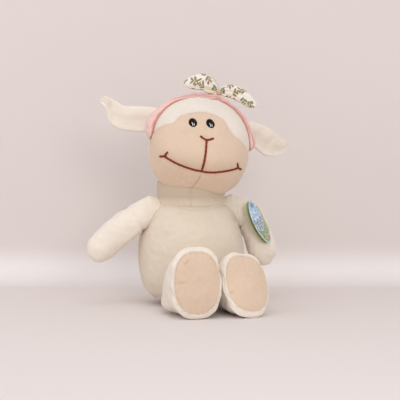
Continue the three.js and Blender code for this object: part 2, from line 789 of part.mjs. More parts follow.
// Sections of a leg about its hip: a ball, a tube along the floor and a foot that stands up at its end.
function legSections(pose) {
  const radius = HIP.ballRadius;
  const sections = [];
  const flat = {
    forward: new THREE.Vector3(0, -1, 0),
    across: new THREE.Vector3(1, 0, 0),
    up: new THREE.Vector3(0, 0, 1),
  };
  for (const angle of [0, 30, 52, 72]) {
    const share = sin(angle * DEGREE);
    sections.push({
      middle: new THREE.Vector3(0, radius * cos(angle * DEGREE), 0),
      ...flat,
      wide: radius * share,
      tall: radius * share,
      push: -cos(angle * DEGREE),
    });
  }
  const turn = new THREE.Euler(-pose.tilt * DEGREE, 0, pose.turn * DEGREE, "ZYX");
  const footFrame = {
    forward: flat.forward.clone().applyEuler(turn),
    across: flat.across.clone().applyEuler(turn),
    up: flat.up.clone().applyEuler(turn),
  };
  const footMiddle = (FOOT.height / 2) * cos(pose.tilt * DEGREE) - HIP.height;
  const stops = [0.1, 0.3, 0.5, 0.68, 0.84, 1.0];
  for (const t of stops) {
    const grow = ((1 - cos(PI * min(1, t * 1.04))) / 2) ** 1.1;
    const frame = {};
    for (const key of ["forward", "across", "up"])
      frame[key] = flat[key].clone().lerp(footFrame[key], grow).normalize();
    const tall = radius - 0.5 + (FOOT.height / 2 - radius + 0.5) * grow;
    sections.push({
      middle: new THREE.Vector3(pose.aside * t, -pose.reach * t, footMiddle * grow),
      ...frame,
      wide: radius + (FOOT.width / 2 - radius) * sin((min(1, t * 1.1) * PI) / 2),
      tall,
    });
  }
  const rim = sections.at(-1);
  for (const [ahead, wide, tall] of [
    [3.2, (SOLE.width + FOOT.width) / 4 + 0.8, (SOLE.height + FOOT.height) / 4 + 1.6],
    [5.2, SOLE.width / 2 + 0.4, SOLE.height / 2 + 0.4],
  ])
    sections.push({
      middle: rim.middle.clone().addScaledVector(footFrame.forward, ahead),
      ...footFrame,
      wide,
      tall,
    });
  sections.push({
    middle: rim.middle.clone().addScaledVector(footFrame.forward, 5.2 + SOLE.crown),
    ...footFrame,
    wide: 0,
    tall: 0,
    push: 1,
  });
  return sections;
}

// The sole is a padded oval that closes the front of the foot.
function soleForm(sections, low, high) {
  const rim = sections.at(-2);
  const tip = sections.at(-1);
  const crown = SOLE.crown + 3;
  const place = (u, v, target) => {
    const upper = v < 0.5;
    const r = sin(v * PI);
    const turn = u * 2 * PI;
    const rise = crown * (cos((r * PI) / 2) - 1) * 0.5 + (upper ? high : low);
    const edge = v <= 0 || v >= 1 ? 0 : 1;
    target
      .copy(tip.middle)
      .addScaledVector(rim.forward, rise)
      .addScaledVector(rim.across, edge * r * (SOLE.width / 2) * cos(turn))
      .addScaledVector(rim.up, edge * r * (SOLE.height / 2) * sin(turn));
  };
  return closedSurface(place, 16, 6);
}

function addLeg(root, side, name) {
  const sections = legSections(FOOT_POSES[name]);
  const group = new THREE.Group();
  group.position.copy(hipAt(side));
  const floor = block(200, 300, 60, 0, 0, -HIP.height - 30);
  addLimb(group, `leg_${name}`, sections, 16, {
    root: hipAt(side),
    radius: HIP.ballRadius,
    axis: new THREE.Vector3(1, 0, 0),
    mouth: FOOT.mouth,
    floor: [floor],
  });
  group.add(piece(`sole_${name}`, soleForm(sections, GAP, GAP + SOLE.thickness), "peach"));
  root.add(group);
}

// The swing tag: a card folded once along a long side, with both leaves punched at the top. Its own frame
// has its origin in the hole, its length down -Y and its printed face along +Z.
function tagLeaf() {
  const shape = new THREE.Shape();
  const middle = TAG.margin + TAG.hole - TAG.length / 2;
  shape.absellipse(0, middle, TAG.width / 2, TAG.length / 2, 0, 2 * PI);
  shape.holes.push(new THREE.Path().absarc(0, 0, TAG.hole, 0, 2 * PI, true));
  const leaf = new THREE.ExtrudeGeometry(shape, { depth: CARD, bevelEnabled: false, curveSegments: 14 });
  const spine = TAG.width / 2 - TAG.spine;
  return solidOf(leaf).subtract(block(20, 100, 20, spine + 10, 0, 0));
}

function swingTag() {
  const spine = TAG.width / 2 - TAG.spine;
  const fold = new THREE.Matrix4()
    .makeTranslation(spine, 0, 0)
    .multiply(new THREE.Matrix4().makeRotationY(-TAG.openBy * DEGREE))
    .multiply(new THREE.Matrix4().makeTranslation(-spine, 0, 0));
  return tagLeaf().add(moved(tagLeaf(), fold));
}

function tagFrame() {
  const face = new THREE.Vector3(...TAG_PLACE.face).normalize();
  const turn = new THREE.Quaternion().setFromUnitVectors(new THREE.Vector3(0, 0, 1), face);
  const upright = new THREE.Vector3(0, 0, 1).projectOnPlane(face).normalize();
  const now = new THREE.Vector3(0, 1, 0).applyQuaternion(turn);
  const angle = Math.atan2(new THREE.Vector3().crossVectors(now, upright).dot(face), now.dot(upright));
  const group = new THREE.Group();
  group.position.set(TAG_PLACE.out, -TAG_PLACE.ahead, TAG_PLACE.up);
  const lean = angle + TAG_PLACE.lean * DEGREE;
  group.quaternion.setFromAxisAngle(face, lean).multiply(turn);
  return group;
}

// The nylon fastener runs from the seam of the shoulder through both leaves to its own flat head.
function tagFastener() {
  const seat = sqrt(TAG_PLACE.out ** 2 + TAG_PLACE.ahead ** 2 + TAG_PLACE.up ** 2);
  const face = new THREE.Vector3(...TAG_PLACE.face).normalize();
  const hole = new THREE.Vector3(TAG_PLACE.out, -TAG_PLACE.ahead, TAG_PLACE.up);
  let length = seat - SHOULDER.ballRadius;
  const reached = (far) => hole.clone().addScaledVector(face, -far).length();
  while (reached(length) > SHOULDER.ballRadius + GAP && length < seat) length += HEIGHT_STEP / 5;
  const top = CARD + PIN.slack;
  const stem = new THREE.CylinderGeometry(PIN.radius, PIN.radius, length + top + 0.2, 8);
  const head = new THREE.CylinderGeometry(PIN.head, PIN.head, PIN.headThickness, 14);
  stem.rotateX(PI / 2).translate(0, 0, (top + 0.2 - length) / 2);
  head.rotateX(PI / 2).translate(0, 0, top + PIN.headThickness / 2);
  return solidOf(stem).add(solidOf(head));
}

function addTag(arm) {
  const frame = tagFrame();
  frame.add(piece("swing_tag", swingTag(), "card"), piece("tag_fastener", tagFastener(), "nylon"));
  arm.add(frame);
}

// A blank satin label hangs from the torso's middle back seam.
function careLabel() {
  const behind = TORSO.depth / 2 + GAP + CARE.thickness / 2;
  return block(CARE.width, CARE.thickness, CARE.length, 0, behind, TORSO.widestAt);
}

// The assembled toy.
const toy = new THREE.Group();
addTorso(toy);
addNeck(toy);

const headGroup = new THREE.Group();
headGroup.position.copy(NECK_BALL);
headGroup.rotation.set(0, HEAD.roll * DEGREE, HEAD.turn * DEGREE, "ZYX");
addHead(headGroup, [earSlot(-1), earSlot(1)]);
headGroup.add(
  piece("headband", cutAll(headband(0), [earSlot(-1), earSlot(1)]), "pink"),
  piece("nose_stitching", noseStitching(), "thread"),
  piece("mouth_stitching", mouthStitching(), "thread"),
  piece("eye_left", eyePad(EYES.left), "black"),
  piece("eye_right", eyePad(EYES.right), "black"),
);
addEar(headGroup, 1, "left");
addEar(headGroup, -1, "right");
addBow(headGroup);
toy.add(headGroup);

toy.add(piece("care_label", careLabel(), "satin"));
addTag(addArm(toy, 1, "left"));
addArm(toy, -1, "right");
addLeg(toy, 1, "left");
addLeg(toy, -1, "right");

export default toy;
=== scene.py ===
"""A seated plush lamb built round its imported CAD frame: plush skins with sewn seams, embroidered features,
a gathered headband with a printed bow, and a folded swing tag. Sizes are in metres."""

import json
import math

import bpy
import numpy as np
from bpy.props import FloatProperty, FloatVectorProperty, PointerProperty
from mathutils import Matrix, Vector
from mathutils.kdtree import KDTree


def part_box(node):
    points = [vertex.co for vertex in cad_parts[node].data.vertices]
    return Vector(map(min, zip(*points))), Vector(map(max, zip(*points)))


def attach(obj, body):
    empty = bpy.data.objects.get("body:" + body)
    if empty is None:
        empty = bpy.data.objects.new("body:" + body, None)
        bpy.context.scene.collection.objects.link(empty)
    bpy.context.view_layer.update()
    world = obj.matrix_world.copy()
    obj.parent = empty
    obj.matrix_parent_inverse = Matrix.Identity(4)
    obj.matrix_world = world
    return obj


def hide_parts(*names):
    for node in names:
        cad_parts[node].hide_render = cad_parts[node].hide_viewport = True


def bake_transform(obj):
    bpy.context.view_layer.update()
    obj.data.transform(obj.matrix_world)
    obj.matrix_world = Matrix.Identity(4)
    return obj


bl_info = {
    "name": "Plush Lamb",
    "version": (1, 0, 0),
    "blender": (4, 5, 0),
    "location": "View3D > Sidebar > Plush Lamb",
    "description": "Builds a seated plush lamb round its packed CAD frame",
    "category": "Add Mesh",
}

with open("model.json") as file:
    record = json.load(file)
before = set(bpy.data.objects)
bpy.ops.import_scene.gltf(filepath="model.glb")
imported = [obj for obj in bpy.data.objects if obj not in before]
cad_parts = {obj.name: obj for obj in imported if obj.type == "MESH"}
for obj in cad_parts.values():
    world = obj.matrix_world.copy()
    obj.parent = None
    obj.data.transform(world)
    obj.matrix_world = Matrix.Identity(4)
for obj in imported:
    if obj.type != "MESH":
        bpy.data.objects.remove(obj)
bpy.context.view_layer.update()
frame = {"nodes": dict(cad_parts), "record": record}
JOINTS = {joint["name"]: joint for joint in frame["record"]["behaviour"]["joints"]}

MM = 0.001
TAU = 2 * math.pi
# The sign of x on each side.
SIDES = {"left": 1, "right": -1}
PLUSH = 1.6 * MM

# How far a limb's fill lies inside its cover, the share by which it narrows near the root, and how many of
# its last rows lie all that far inside.
FILL_DEPTH = 2.6 * MM
FILL_NARROWING = 0.55
FILL_END_ROWS = 12

# How the covers are blown up: settings of Blender's Cloth, the frames that it runs for, and the farthest that
# a point may move.
CLOTH = {
    "quality": 6, "mass": 0.15, "tension_stiffness": 12, "compression_stiffness": 12,
    "bending_stiffness": 0.3, "shrink_min": -0.03, "use_pressure": True, "uniform_pressure_force": 4,
    "vertex_group_mass": "held",
}
CLOTH_FRAMES = 20
PUFF = 1.8 * MM
# How far below its form a cover lies before that.
SLACK = 0.8 * MM

# Seams: how far they draw the cloth in and how wide their groove is, the same for the limbs' and for finer
# ones, and how high their puckers are and how far apart.
SEAM_DEPTH = 1.0 * MM
SEAM_WIDTH = 1.1 * MM
LIMB_SEAM = 0.8 * MM
FINE_SEAM = 0.9 * MM
PUCKER = 0.22 * MM
PUCKER_STEP = 5.5 * MM

# Torso: a superellipse below its widest place and another above. Its powers are that below, that above and
# that of its level sections.
TORSO_TOP = 118 * MM
TORSO_WIDEST = 54 * MM
TORSO_SUNK = 0.5 * MM
TORSO_POWERS = (3.0, 2.2, 2.1)
TORSO_GRID = (170, 250)
# Where its side seams lie, from what height its neck seam is looked for, and how high its seat is held.
TORSO_SEAM_Y = 2 * MM
TORSO_NECK_FROM = 90 * MM
SEAT_HEIGHT = 3 * MM

# Neck: a drum that ends in a ball, on which the head nods.
NECK_DRUM = 36 * MM
NECK_BALL = 37.5 * MM
NECK_SEAM_TURN = math.radians(-15)
NECK_GRID = (110, 200)
# How far its drum reaches down inside the torso, how far its ball goes up, and the share of shade painted
# on its cloth under the head.
NECK_SUNK = 14 * MM
NECK_TOP = math.radians(76)
PAINTED_CHIN_SHADE = 0.95

# Head: its frame starts in the middle of the neck's ball, rolled and turned. Its powers are as the torso's.
HEAD_ROLL = math.radians(9)
HEAD_TURN = math.radians(-6)
HEAD_CENTRE = np.array((0, -10, 45.5)) * MM
HEAD_HALF = 52 * MM
HEAD_FRONT = 38 * MM
HEAD_BACK = 43 * MM
HEAD_POWERS = (2.65, 2.0, 2.15)
MUZZLE_OUT = 13 * MM
MUZZLE_BELOW = 15 * MM
MUZZLE_SPREAD = 21 * MM
PANEL_BACK = -4 * MM
HEAD_GRID = (210, 300)
FACE_EDGE = np.array((
    (-56, -8), (-49, 7), (-42, 13.5), (-34, 17), (-28.5, 24.5), (-17, 30.5), (-4, 32.5), (8, 31),
    (17, 27.5), (22.5, 20.5), (28.5, 14), (38, 9.5), (47, 2.5), (56, -8), (62, -40), (0, -80), (-62, -40),
)) * MM

# Embroidery, seen straight ahead: aside from and above the middle of the head.
NOSE_HALF = 7 * MM
NOSE_TOP = 7 * MM
NOSE_ROOT = 4.2 * MM
NOSE_FOOT = -25 * MM
MOUTH_HALF = 38 * MM
MOUTH_CORNER = -18 * MM
MOUTH_LOW = -27 * MM
TICK_OUT = 42 * MM
TICK_IN = 35 * MM
TICK_TOP = -12.8 * MM
THREAD_HALF = 1.15 * MM
EYE_PLACES = {"left": (2.5 * MM, 21.2 * MM), "right": (-15 * MM, 19.8 * MM)}
EYE_HALF = (4.3 * MM, 5.5 * MM)
# The slant of the eye's threads, and its light strokes: start, end and half width, as shares of the eye.
EYE_SLANT = 0.16
EYE_STROKES = (((-0.16, -0.02), (0.02, -0.56), 0.12), ((0.3, -0.3), (0.42, -0.6), 0.1))
# How long a stitch and a turn of the thread's twist are.
STITCH_STEP = 4.6 * MM
TWIST_STEP = 1.5 * MM

# Ears: each row of an outline is a distance from the root, the lower edge and the upper edge there. Its curl
# bends the end back, its rise lifts it by degrees, its fold hollows it, its lean tips the end forward, and
# its crease is a dent at a place in mm from the root. Both sweep back by the same angle in degrees.
EAR_THICKNESS = 9 * MM
EAR_OUTLINES = {
    "left": np.array((
        (-14, 4, 4), (-10, -6, 14), (4, -6, 20), (17, -6.2, 20.4), (25, -8.6, 20), (33, -11.3, 18),
        (42, -10.6, 14.6), (48, -9, 12), (53.5, -6.4, 11.2), (57.5, -3, 10.4), (60.2, 1.2, 8.4), (61.4, 5, 5),
    )) * MM,
    "right": np.array((
        (-14, 4, 4), (-10, -6, 13), (4, -7.5, 17.5), (17, -8.9, 19), (30, -7.8, 19.3), (39, -6.6, 20.2),
        (45.3, -4.8, 23.6), (50.3, -1.8, 26.9), (54.1, 2.4, 28.6), (55.8, 7.6, 29.3), (57, 13.2, 29.6),
        (58.6, 17.2, 29.9), (61.2, 19.8, 30), (63.8, 22.2, 29.2), (65.2, 25.6, 25.6),
    )) * MM,
}
EAR_POSES = {
    "left": {"curl": 4 * MM, "rise": -5, "fold": 2.8 * MM, "lean": 0.0, "crease": (38, 6)},
    "right": {"curl": 5 * MM, "rise": -8, "fold": 2.4 * MM, "lean": 4.5 * MM, "crease": (54, 20)},
}
EAR_SWEEP = 20
EAR_PLACE = np.array((46, 8, 16)) * MM

# Arms: curves that start inside the torso, pass the shoulder and bend towards the hand. Their bend and hand
# are places in mm from the shoulder. Near it an arm's top is raised, for the share of the curve in its reach.
SHOULDER = np.array((47, -2, 94.5)) * MM
# The radius of the seam by which an arm is sewn to the torso.
SHOULDER_RING = 15 * MM
ARM_WRIST = 13.5 * MM
ARM_PALM = 16.8 * MM
ARM_FLAT = 0.92
# The arm's start behind the shoulder and the place where its tip begins, as shares of its curve.
ARM_START = 0.26
ARM_TIP = 0.74
ARM_POSES = {
    "left": {"bend": (27, -1.8, 5), "hand": (35, -9, -54), "raise": 9.5 * MM, "reach": 0.5},
    "right": {"bend": (24.5, -0.8, -1), "hand": (62, -4, -42.5), "raise": 8 * MM, "reach": 0.42},
}

# Legs: tubes along the floor that rise into the feet. A foot's tilt, turn and roll are in degrees, its reach
# and its place aside in mm from the hip, its flare is how far the leg's outer side spreads on the floor, in
# mm, and its dents are places in shares of the sole and a slope.
HIP = np.array((25, -39, 14.5)) * MM
# The radius of a leg at the hip, that of the seam by which it is sewn to the torso, and its start behind the
# hip, as a share of its line.
HIP_BALL = 14 * MM
HIP_RING = 16 * MM
LEG_START = 0.2
FOOT = (51 * MM, 70 * MM)
SOLE = (45 * MM, 60 * MM)
FOOT_POWER = 0.82
# How far ahead of a foot's middle its rim, the edge of its sole and the sole's back lie. The sole's face is
# crowned by as much again as its edge lies ahead.
RIM_BULGE = 4.6 * MM
SOLE_RISE = 4.2 * MM
SOLE_BACK = 2.6 * MM
FOOT_POSES = {
    "left": {
        "aside": 4, "tilt": 30, "turn": 14, "roll": 10, "reach": 61, "flare": 3,
        "dents": ((-0.86, -0.42, 0.3),),
    },
    "right": {
        "aside": 2, "tilt": 5, "turn": 0, "roll": 0, "reach": 69, "flare": 8,
        "dents": ((-0.45, 0.66, 0.5), (-0.74, 0.02, -0.1)),
    },
}

# Headband and bow.
BAND_WIDTH = 17 * MM
BAND_BEHIND = 1 * MM
BAND_ANGLES = (math.radians(-92), math.radians(88))
# Where the bow pinches it, and over how wide an angle.
BAND_PINCH = math.radians(11.5)
BAND_PINCH_WIDTH = math.radians(4.5)
# Its thickness in mm by the angle from the crown in degrees.
BAND_SWELL = np.array((
    (-95, 2.4), (-88, 5.4), (-78, 9.4), (-60, 8.4), (-42, 5.8), (-24, 4.8), (0, 4.8), (10, 5.8), (28, 5),
    (45, 6.0), (63, 7.2), (78, 9.4), (86, 6.5), (92, 3),
))
BOW_PLACE = np.array((10.5, -13, 105.8)) * MM
BOW_KNOT = np.array((4.6, 7.0, 6.0)) * MM
BOW_DEPTH = 10 * MM
KNOT_GRID = (50, 60)
# Each loop's outline: distance from the knot's middle, lower edge and upper edge.
BOW_OUTLINES = {
    "left": np.array((
        (0, 0, 0), (2, -2.6, 2.0), (4, -3.8, 5.0), (7.5, -4.6, 7.6), (12, -5.0, 9.0), (16.4, -5.6, 9.3),
        (22.3, -7.0, 8.3), (28.2, -9.0, 6.2), (34.4, -11.0, 3.0), (39.5, -11.8, -1.2), (43.2, -10.2, -4.8),
        (44.6, -7.6, -7.6),
    )) * MM,
    "right": np.array((
        (-1.5, 1, 1), (0, -0.4, 4.2), (1.4, -0.4, 7), (3.4, -0.4, 9.8), (6.7, -0.7, 12.2), (12.7, -1.5, 14.7),
        (18.8, -2.2, 15.8), (26, -2.6, 13.6), (32.1, -2, 9.8), (35.6, -0.7, 6.4), (37.8, 2.6, 2.6),
    )) * MM,
}

# Swing tag: a card folded once, hung from the hole near its top. It faces along TAG_FACE, leans in its plane
# and is open by an angle.
TAG_FACE = (0.634, -0.718, 0.328)
TAG_LEAN = math.radians(20.5)
TAG_SIZE = (24 * MM, 50 * MM)
TAG_OPEN = math.radians(14)
TAG_SPINE = 1.5 * MM
TAG_HOLE = 1.8 * MM
TAG_MARGIN = 3.5 * MM
CARD = 0.5 * MM
# Its nylon pin in mm from the hole, across the card, up it and out of it, and the pin's flat head as
# heights and radii.
TAG_PIN = (
    (8.7, -6.2, -10.4), (7.4, -5.2, -8.8), (4.2, -2.8, -6.2), (1.0, -0.6, -3.8), (0, 0, -1.6), (0, 0, 0.9),
)
TAG_PIN_RADIUS = 0.36
TAG_HEAD = ((1.05, 0.6), (1.1, 2.3), (1.3, 2.6), (1.55, 2.4), (1.65, 1.2), (1.66, 0))

# The card's print. Hills: the phase and the height of each. Dots and flowers: how many across, their size,
# the heights between which they lie, their petals and their colour.
TAG_HILLS = ((0.6, 0.5, "teal"), (2.6, 0.36, "meadow"))
TAG_DOTS = (
    (16.0, 0.3, 0.0, 0.62, 3, "foliage"), (12.0, 0.3, 0.05, 0.58, 5, "blossom"),
    (8.0, 0.24, 0.58, 0.95, 6, "cloud"), (13.0, 0.2, 0.1, 0.9, 5, "cloud"),
)

# Finish of the plush: its sheen, how strongly its brushed patches and its tufts change the tone, and the
# darker warm colour of its seams and of painted shade, as shares of its own and how far they take it.
SHEEN = 0.35
PATCHES = 0.14
TUFTS = 0.26
SEAM_AND_SHADE_SHARE = 0.55
SEAM_AND_SHADE_TINT = (0.56, 0.47, 0.37)

# Stage: how far behind the toy the floor starts to curve, the curve's radius and the wall's height. Light is
# painted on the foot of the wall as a brighter band, about a height and over a width.
WALL_BEHIND = 0.12
WALL_RADIUS = 0.05
WALL_HIGH = 1.8
PAINTED_LIGHT_HEIGHT = 0.018
PAINTED_LIGHT_WIDTH = 0.018
PAINTED_LIGHT_SHARE = 0.5
PAINTED_LIGHT_COLOUR = (1.0, 0.98, 0.98, 1)
# Each lamp's place, size in metres, power in watts and colour.
LAMPS = {
    "key": ((-0.25, -0.75, 1.45), 1.2, 4.8, (1.0, 0.98, 0.95)),
    "fill": ((0.05, -1.35, 0.5), 0.45, 3.9, (1.0, 0.97, 0.94)),
    "rim": ((-1.2, -0.3, 0.6), 1.0, 2.4, (0.97, 0.97, 1.0)),
}
LAMP_TARGET = Vector((0, 0, 0.11))
SKY_COLOUR = (0.93, 0.93, 0.95, 1)
SKY_STRENGTH = 0.68

CAMERA_AZIMUTH = math.radians(-15)
CAMERA_ELEVATION = math.radians(2)
CAMERA_DISTANCE = 1.0
CAMERA_TARGET = Vector((9.3, -2.5, 111)) * MM
CAMERA_LENS = 83.3
CAMERA_SENSOR = 36


def linear(red, green, blue):
    """The linear colour of an 8-bit sRGB one."""
    share = np.array((red, green, blue)) / 255
    return tuple(np.where(share <= 0.04045, share / 12.92, ((share + 0.055) / 1.055) ** 2.4))


def smooth(value):
    """A value held between 0 and 1, with level ends."""
    held = np.clip(value, 0, 1)
    return held * held * (3 - 2 * held)


def crease(distance, width):
    """1 on a line, and falling off to both sides as a bell of that width."""
    return np.exp(-((distance / width) ** 2))


def signed_power(value, power):
    """A power that keeps its number's sign, for rounded rectangles."""
    return np.sign(value) * np.abs(value) ** power


def ripple(points, size, seed, octaves=2):
    """Smooth noise of about -1 to 1: in each octave seven sine waves in random directions, half as long and
    half as strong as those of the octave before."""
    random = np.random.default_rng(seed)
    total = np.zeros(points.shape[:-1])
    for octave in range(octaves):
        waves = random.normal(size=(7, 3))
        waves /= np.linalg.norm(waves, axis=1, keepdims=True)
        phases = random.uniform(0, TAU, 7)
        turns = points @ waves.T * (TAU * 2**octave / size) + phases
        total += np.sin(turns).sum(-1) / 2.6 / 2**octave
    return total / 1.5


def ring_angles(columns):
    """The angles of the columns of a closed grid, as a row."""
    return np.linspace(0, TAU, columns, endpoint=False)[None]


def apart(turn, where):
    """The angle from one direction to another, between minus and plus half a turn."""
    return np.angle(np.exp(1j * (turn - where)))


def directions(rows, columns):
    """Unit vectors over a sphere: rows from the +Z pole to the -Z pole, columns round it from +X."""
    tilt = np.linspace(0, math.pi, rows)[:, None]
    turn = ring_angles(columns)
    return stacked(np.sin(tilt) * np.cos(turn), np.sin(tilt) * np.sin(turn), np.cos(tilt))


def stacked(*parts):
    """Coordinates as one array, each spread over the shape of all of them."""
    return np.stack(np.broadcast_arrays(*parts), -1)


def outermost(measure, shape):
    """The distance at which a measure that grows with it becomes 1, by halving, for a whole array. It is
    looked for between 0 and 0.2 m."""
    near = np.zeros(shape)
    far = np.full(shape, 0.2)
    for _ in range(30):
        middle = (near + far) / 2
        inside = measure(middle) < 1
        near = np.where(inside, middle, near)
        far = np.where(inside, far, middle)
    return near


def skin_distance(form, ways):
    """The distance from a form's centre to its skin along each direction."""
    return outermost(lambda out: form(ways * out[..., None]), ways.shape[:-1])


def unit(vectors):
    """Vectors of length 1."""
    return vectors / np.maximum(np.linalg.norm(vectors, axis=-1, keepdims=True), 1e-12)


def grid_normals(points, away_from):
    """Unit normals of a grid whose columns close round, turned as a whole away from the points given."""
    along = np.gradient(points, axis=0)
    around = np.roll(points, -1, 1) - np.roll(points, 1, 1)
    normals = unit(np.cross(around, along))
    out = points - away_from
    if (normals * out).sum() < 0:
        normals = -normals
    normals[0] = unit(out[0])
    normals[-1] = unit(out[-1])
    return normals


def catmull(points, count, closed=False):
    """A smooth curve of count points through the points given: each span is the cubic whose slopes at its
    ends are half the step between the neighbours."""
    points = np.asarray(points, float)
    spans = len(points) if closed else len(points) - 1
    at = np.linspace(0, spans, count, endpoint=not closed)
    index = np.minimum(at.astype(int), spans - 1)
    t = (at - index)[:, None]
    if closed:
        p0, p1, p2, p3 = (points[(index + step) % len(points)] for step in (-1, 0, 1, 2))
    else:
        p0, p1, p2, p3 = (points[np.clip(index + step, 0, len(points) - 1)] for step in (-1, 0, 1, 2))
    return 0.5 * (
        2 * p1 + (p2 - p0) * t + (2 * p0 - 5 * p1 + 4 * p2 - p3) * t**2 + (3 * p1 - p0 - 3 * p2 + p3) * t**3
    )


def blown_up(grid, held):
    """The grid after Blender's Cloth has blown up a coarse copy of it. The copy has about every fourth row and
    every fourth or fifth column, is held where the mask given is over a half, and its cloth is a little
    larger than it. What each of its points moves, capped at PUFF, is spread over the fine grid and smoothed."""
    rows = np.unique(np.linspace(0, len(grid) - 1, len(grid) // 4).round().astype(int))
    step = 5 if grid.shape[1] % 5 == 0 and grid.shape[1] > 200 else 4
    coarse = grid[rows][:, ::step]
    obj = closed_surface("cloth", coarse, None)
    pins = obj.vertex_groups.new(name="held")
    weights = poled(held[rows][:, ::step])[:, 0]
    pins.add([int(number) for number in np.flatnonzero(weights > 0.5)], 1.0, "REPLACE")
    settings = obj.modifiers.new("Cloth", "CLOTH").settings
    for key, value in CLOTH.items():
        setattr(settings, key, value)
    settings.effector_weights.gravity = 0
    for number in range(CLOTH_FRAMES):
        bpy.context.scene.frame_set(number + 1)
    depsgraph = bpy.context.evaluated_depsgraph_get()
    mesh = obj.evaluated_get(depsgraph).data
    after = np.empty(len(mesh.vertices) * 3)
    mesh.vertices.foreach_get("co", after)
    moved = after.reshape(-1, 3) - poled(coarse)
    length = np.linalg.norm(moved, axis=1, keepdims=True)
    moved = np.where(np.isfinite(moved), moved, 0) * np.minimum(1, PUFF / np.maximum(length, 1e-9))
    bpy.data.objects.remove(obj)
    bpy.context.scene.frame_set(1)
    count = coarse.shape[1]
    field = np.concatenate((
        np.repeat(moved[:1], count, 0), moved[1:-1], np.repeat(moved[-1:], count, 0)
    )).reshape(len(rows), count, 3)
    at = np.interp(np.arange(len(grid)), rows, np.arange(len(rows)))
    low = np.minimum(at.astype(int), len(rows) - 2)
    share = (at - low)[:, None, None]
    tall = field[low] * (1 - share) + field[low + 1] * share
    fine = np.repeat(tall, step, axis=1)
    for _ in range(2):
        fine = sum(np.roll(fine, turn, 1) for turn in range(-step // 2, step - step // 2)) / step
        fine[1:-1] = (fine[:-2] + fine[2:] + 2 * fine[1:-1]) / 4
    return grid + fine


def build_mesh(name, points, faces, material, attributes=None, uv=None):
    """An object from points and faces, smooth, with its point attributes and its UV map."""
    mesh = bpy.data.meshes.new(name)
    mesh.from_pydata(points.reshape(-1, 3).tolist(), [], faces)
    mesh.validate()
    for key, values in (attributes or {}).items():
        mesh.attributes.new(key, "FLOAT", "POINT").data.foreach_set("value", np.ravel(values))
    if uv is not None:
        layer = mesh.uv_layers.new(name="UVMap")
        corners = np.empty(len(mesh.loops), dtype=np.int32)
        mesh.loops.foreach_get("vertex_index", corners)
        layer.data.foreach_set("uv", uv.reshape(-1, 2)[corners].ravel())
    mesh.polygons.foreach_set("use_smooth", [True] * len(mesh.polygons))
    mesh.update()
    if material:
        mesh.materials.append(material)
    obj = bpy.data.objects.new(name, mesh)
    bpy.context.scene.collection.objects.link(obj)
    return obj


def poled(values):
    """Values of a grid as one list, with each end row as a single value."""
    flat = values.reshape(values.shape[0], values.shape[1], -1)
    return np.concatenate((flat[0, :1], flat[1:-1].reshape(-1, flat.shape[-1]), flat[-1, :1]))


def poled_faces(rows, columns):
    """Faces of a closed grid whose end rows are single points: fans at the poles and quads between."""
    index = 1 + np.arange((rows - 2) * columns).reshape(rows - 2, columns)
    after = np.roll(index, -1, 1)
    last = 1 + (rows - 2) * columns
    quads = np.stack((index[:-1], index[1:], after[1:], after[:-1]), -1).reshape(-1, 4)
    first_fan = np.stack((np.zeros(columns, int), index[0], after[0]), -1)
    last_fan = np.stack((np.full(columns, last), after[-1], index[-1]), -1)
    return quads, np.concatenate((first_fan, last_fan))


def turned_outwards(points, quads, fans):
    """The faces, reversed if the volume that they close comes out negative."""
    triangles = np.concatenate((quads[:, :3], quads[:, (0, 2, 3)], fans))
    a, b, c = (points[triangles[:, corner]] for corner in range(3))
    if (a * np.cross(b, c)).sum() < 0:
        return quads[:, ::-1], fans[:, ::-1]
    return quads, fans


def closed_surface(name, grid, material, attributes=None, uv=None):
    """A closed piece from a (rows, columns, 3) grid whose columns close round and whose end rows are each
    a point."""
    points = poled(grid)
    quads, fans = turned_outwards(points, *poled_faces(*grid.shape[:2]))
    attributes = {key: poled(values) for key, values in (attributes or {}).items()}
    uv = None if uv is None else poled(uv)
    return build_mesh(name, points, quads.tolist() + fans.tolist(), material, attributes, uv)


def sheet_surface(name, grid, material, thickness, attributes=None, uv=None):
    """An open piece of cloth or card from a grid, given its thickness by Solidify on both sides."""
    rows, columns = grid.shape[:2]
    index = np.arange(rows * columns).reshape(rows, columns)
    quads = np.stack((index[:-1, :-1], index[1:, :-1], index[1:, 1:], index[:-1, 1:]), -1).reshape(-1, 4)
    obj = build_mesh(name, grid, quads.tolist(), material, attributes, uv)
    solidify(obj, thickness, 0)
    return obj


def solidify(obj, thickness, offset):
    """A wall for an open surface: offset -1 puts it all inside, 0 half on each side."""
    wall = obj.modifiers.new("Wall", "SOLIDIFY")
    wall.thickness = thickness
    wall.offset = offset
    wall.use_even_offset = False


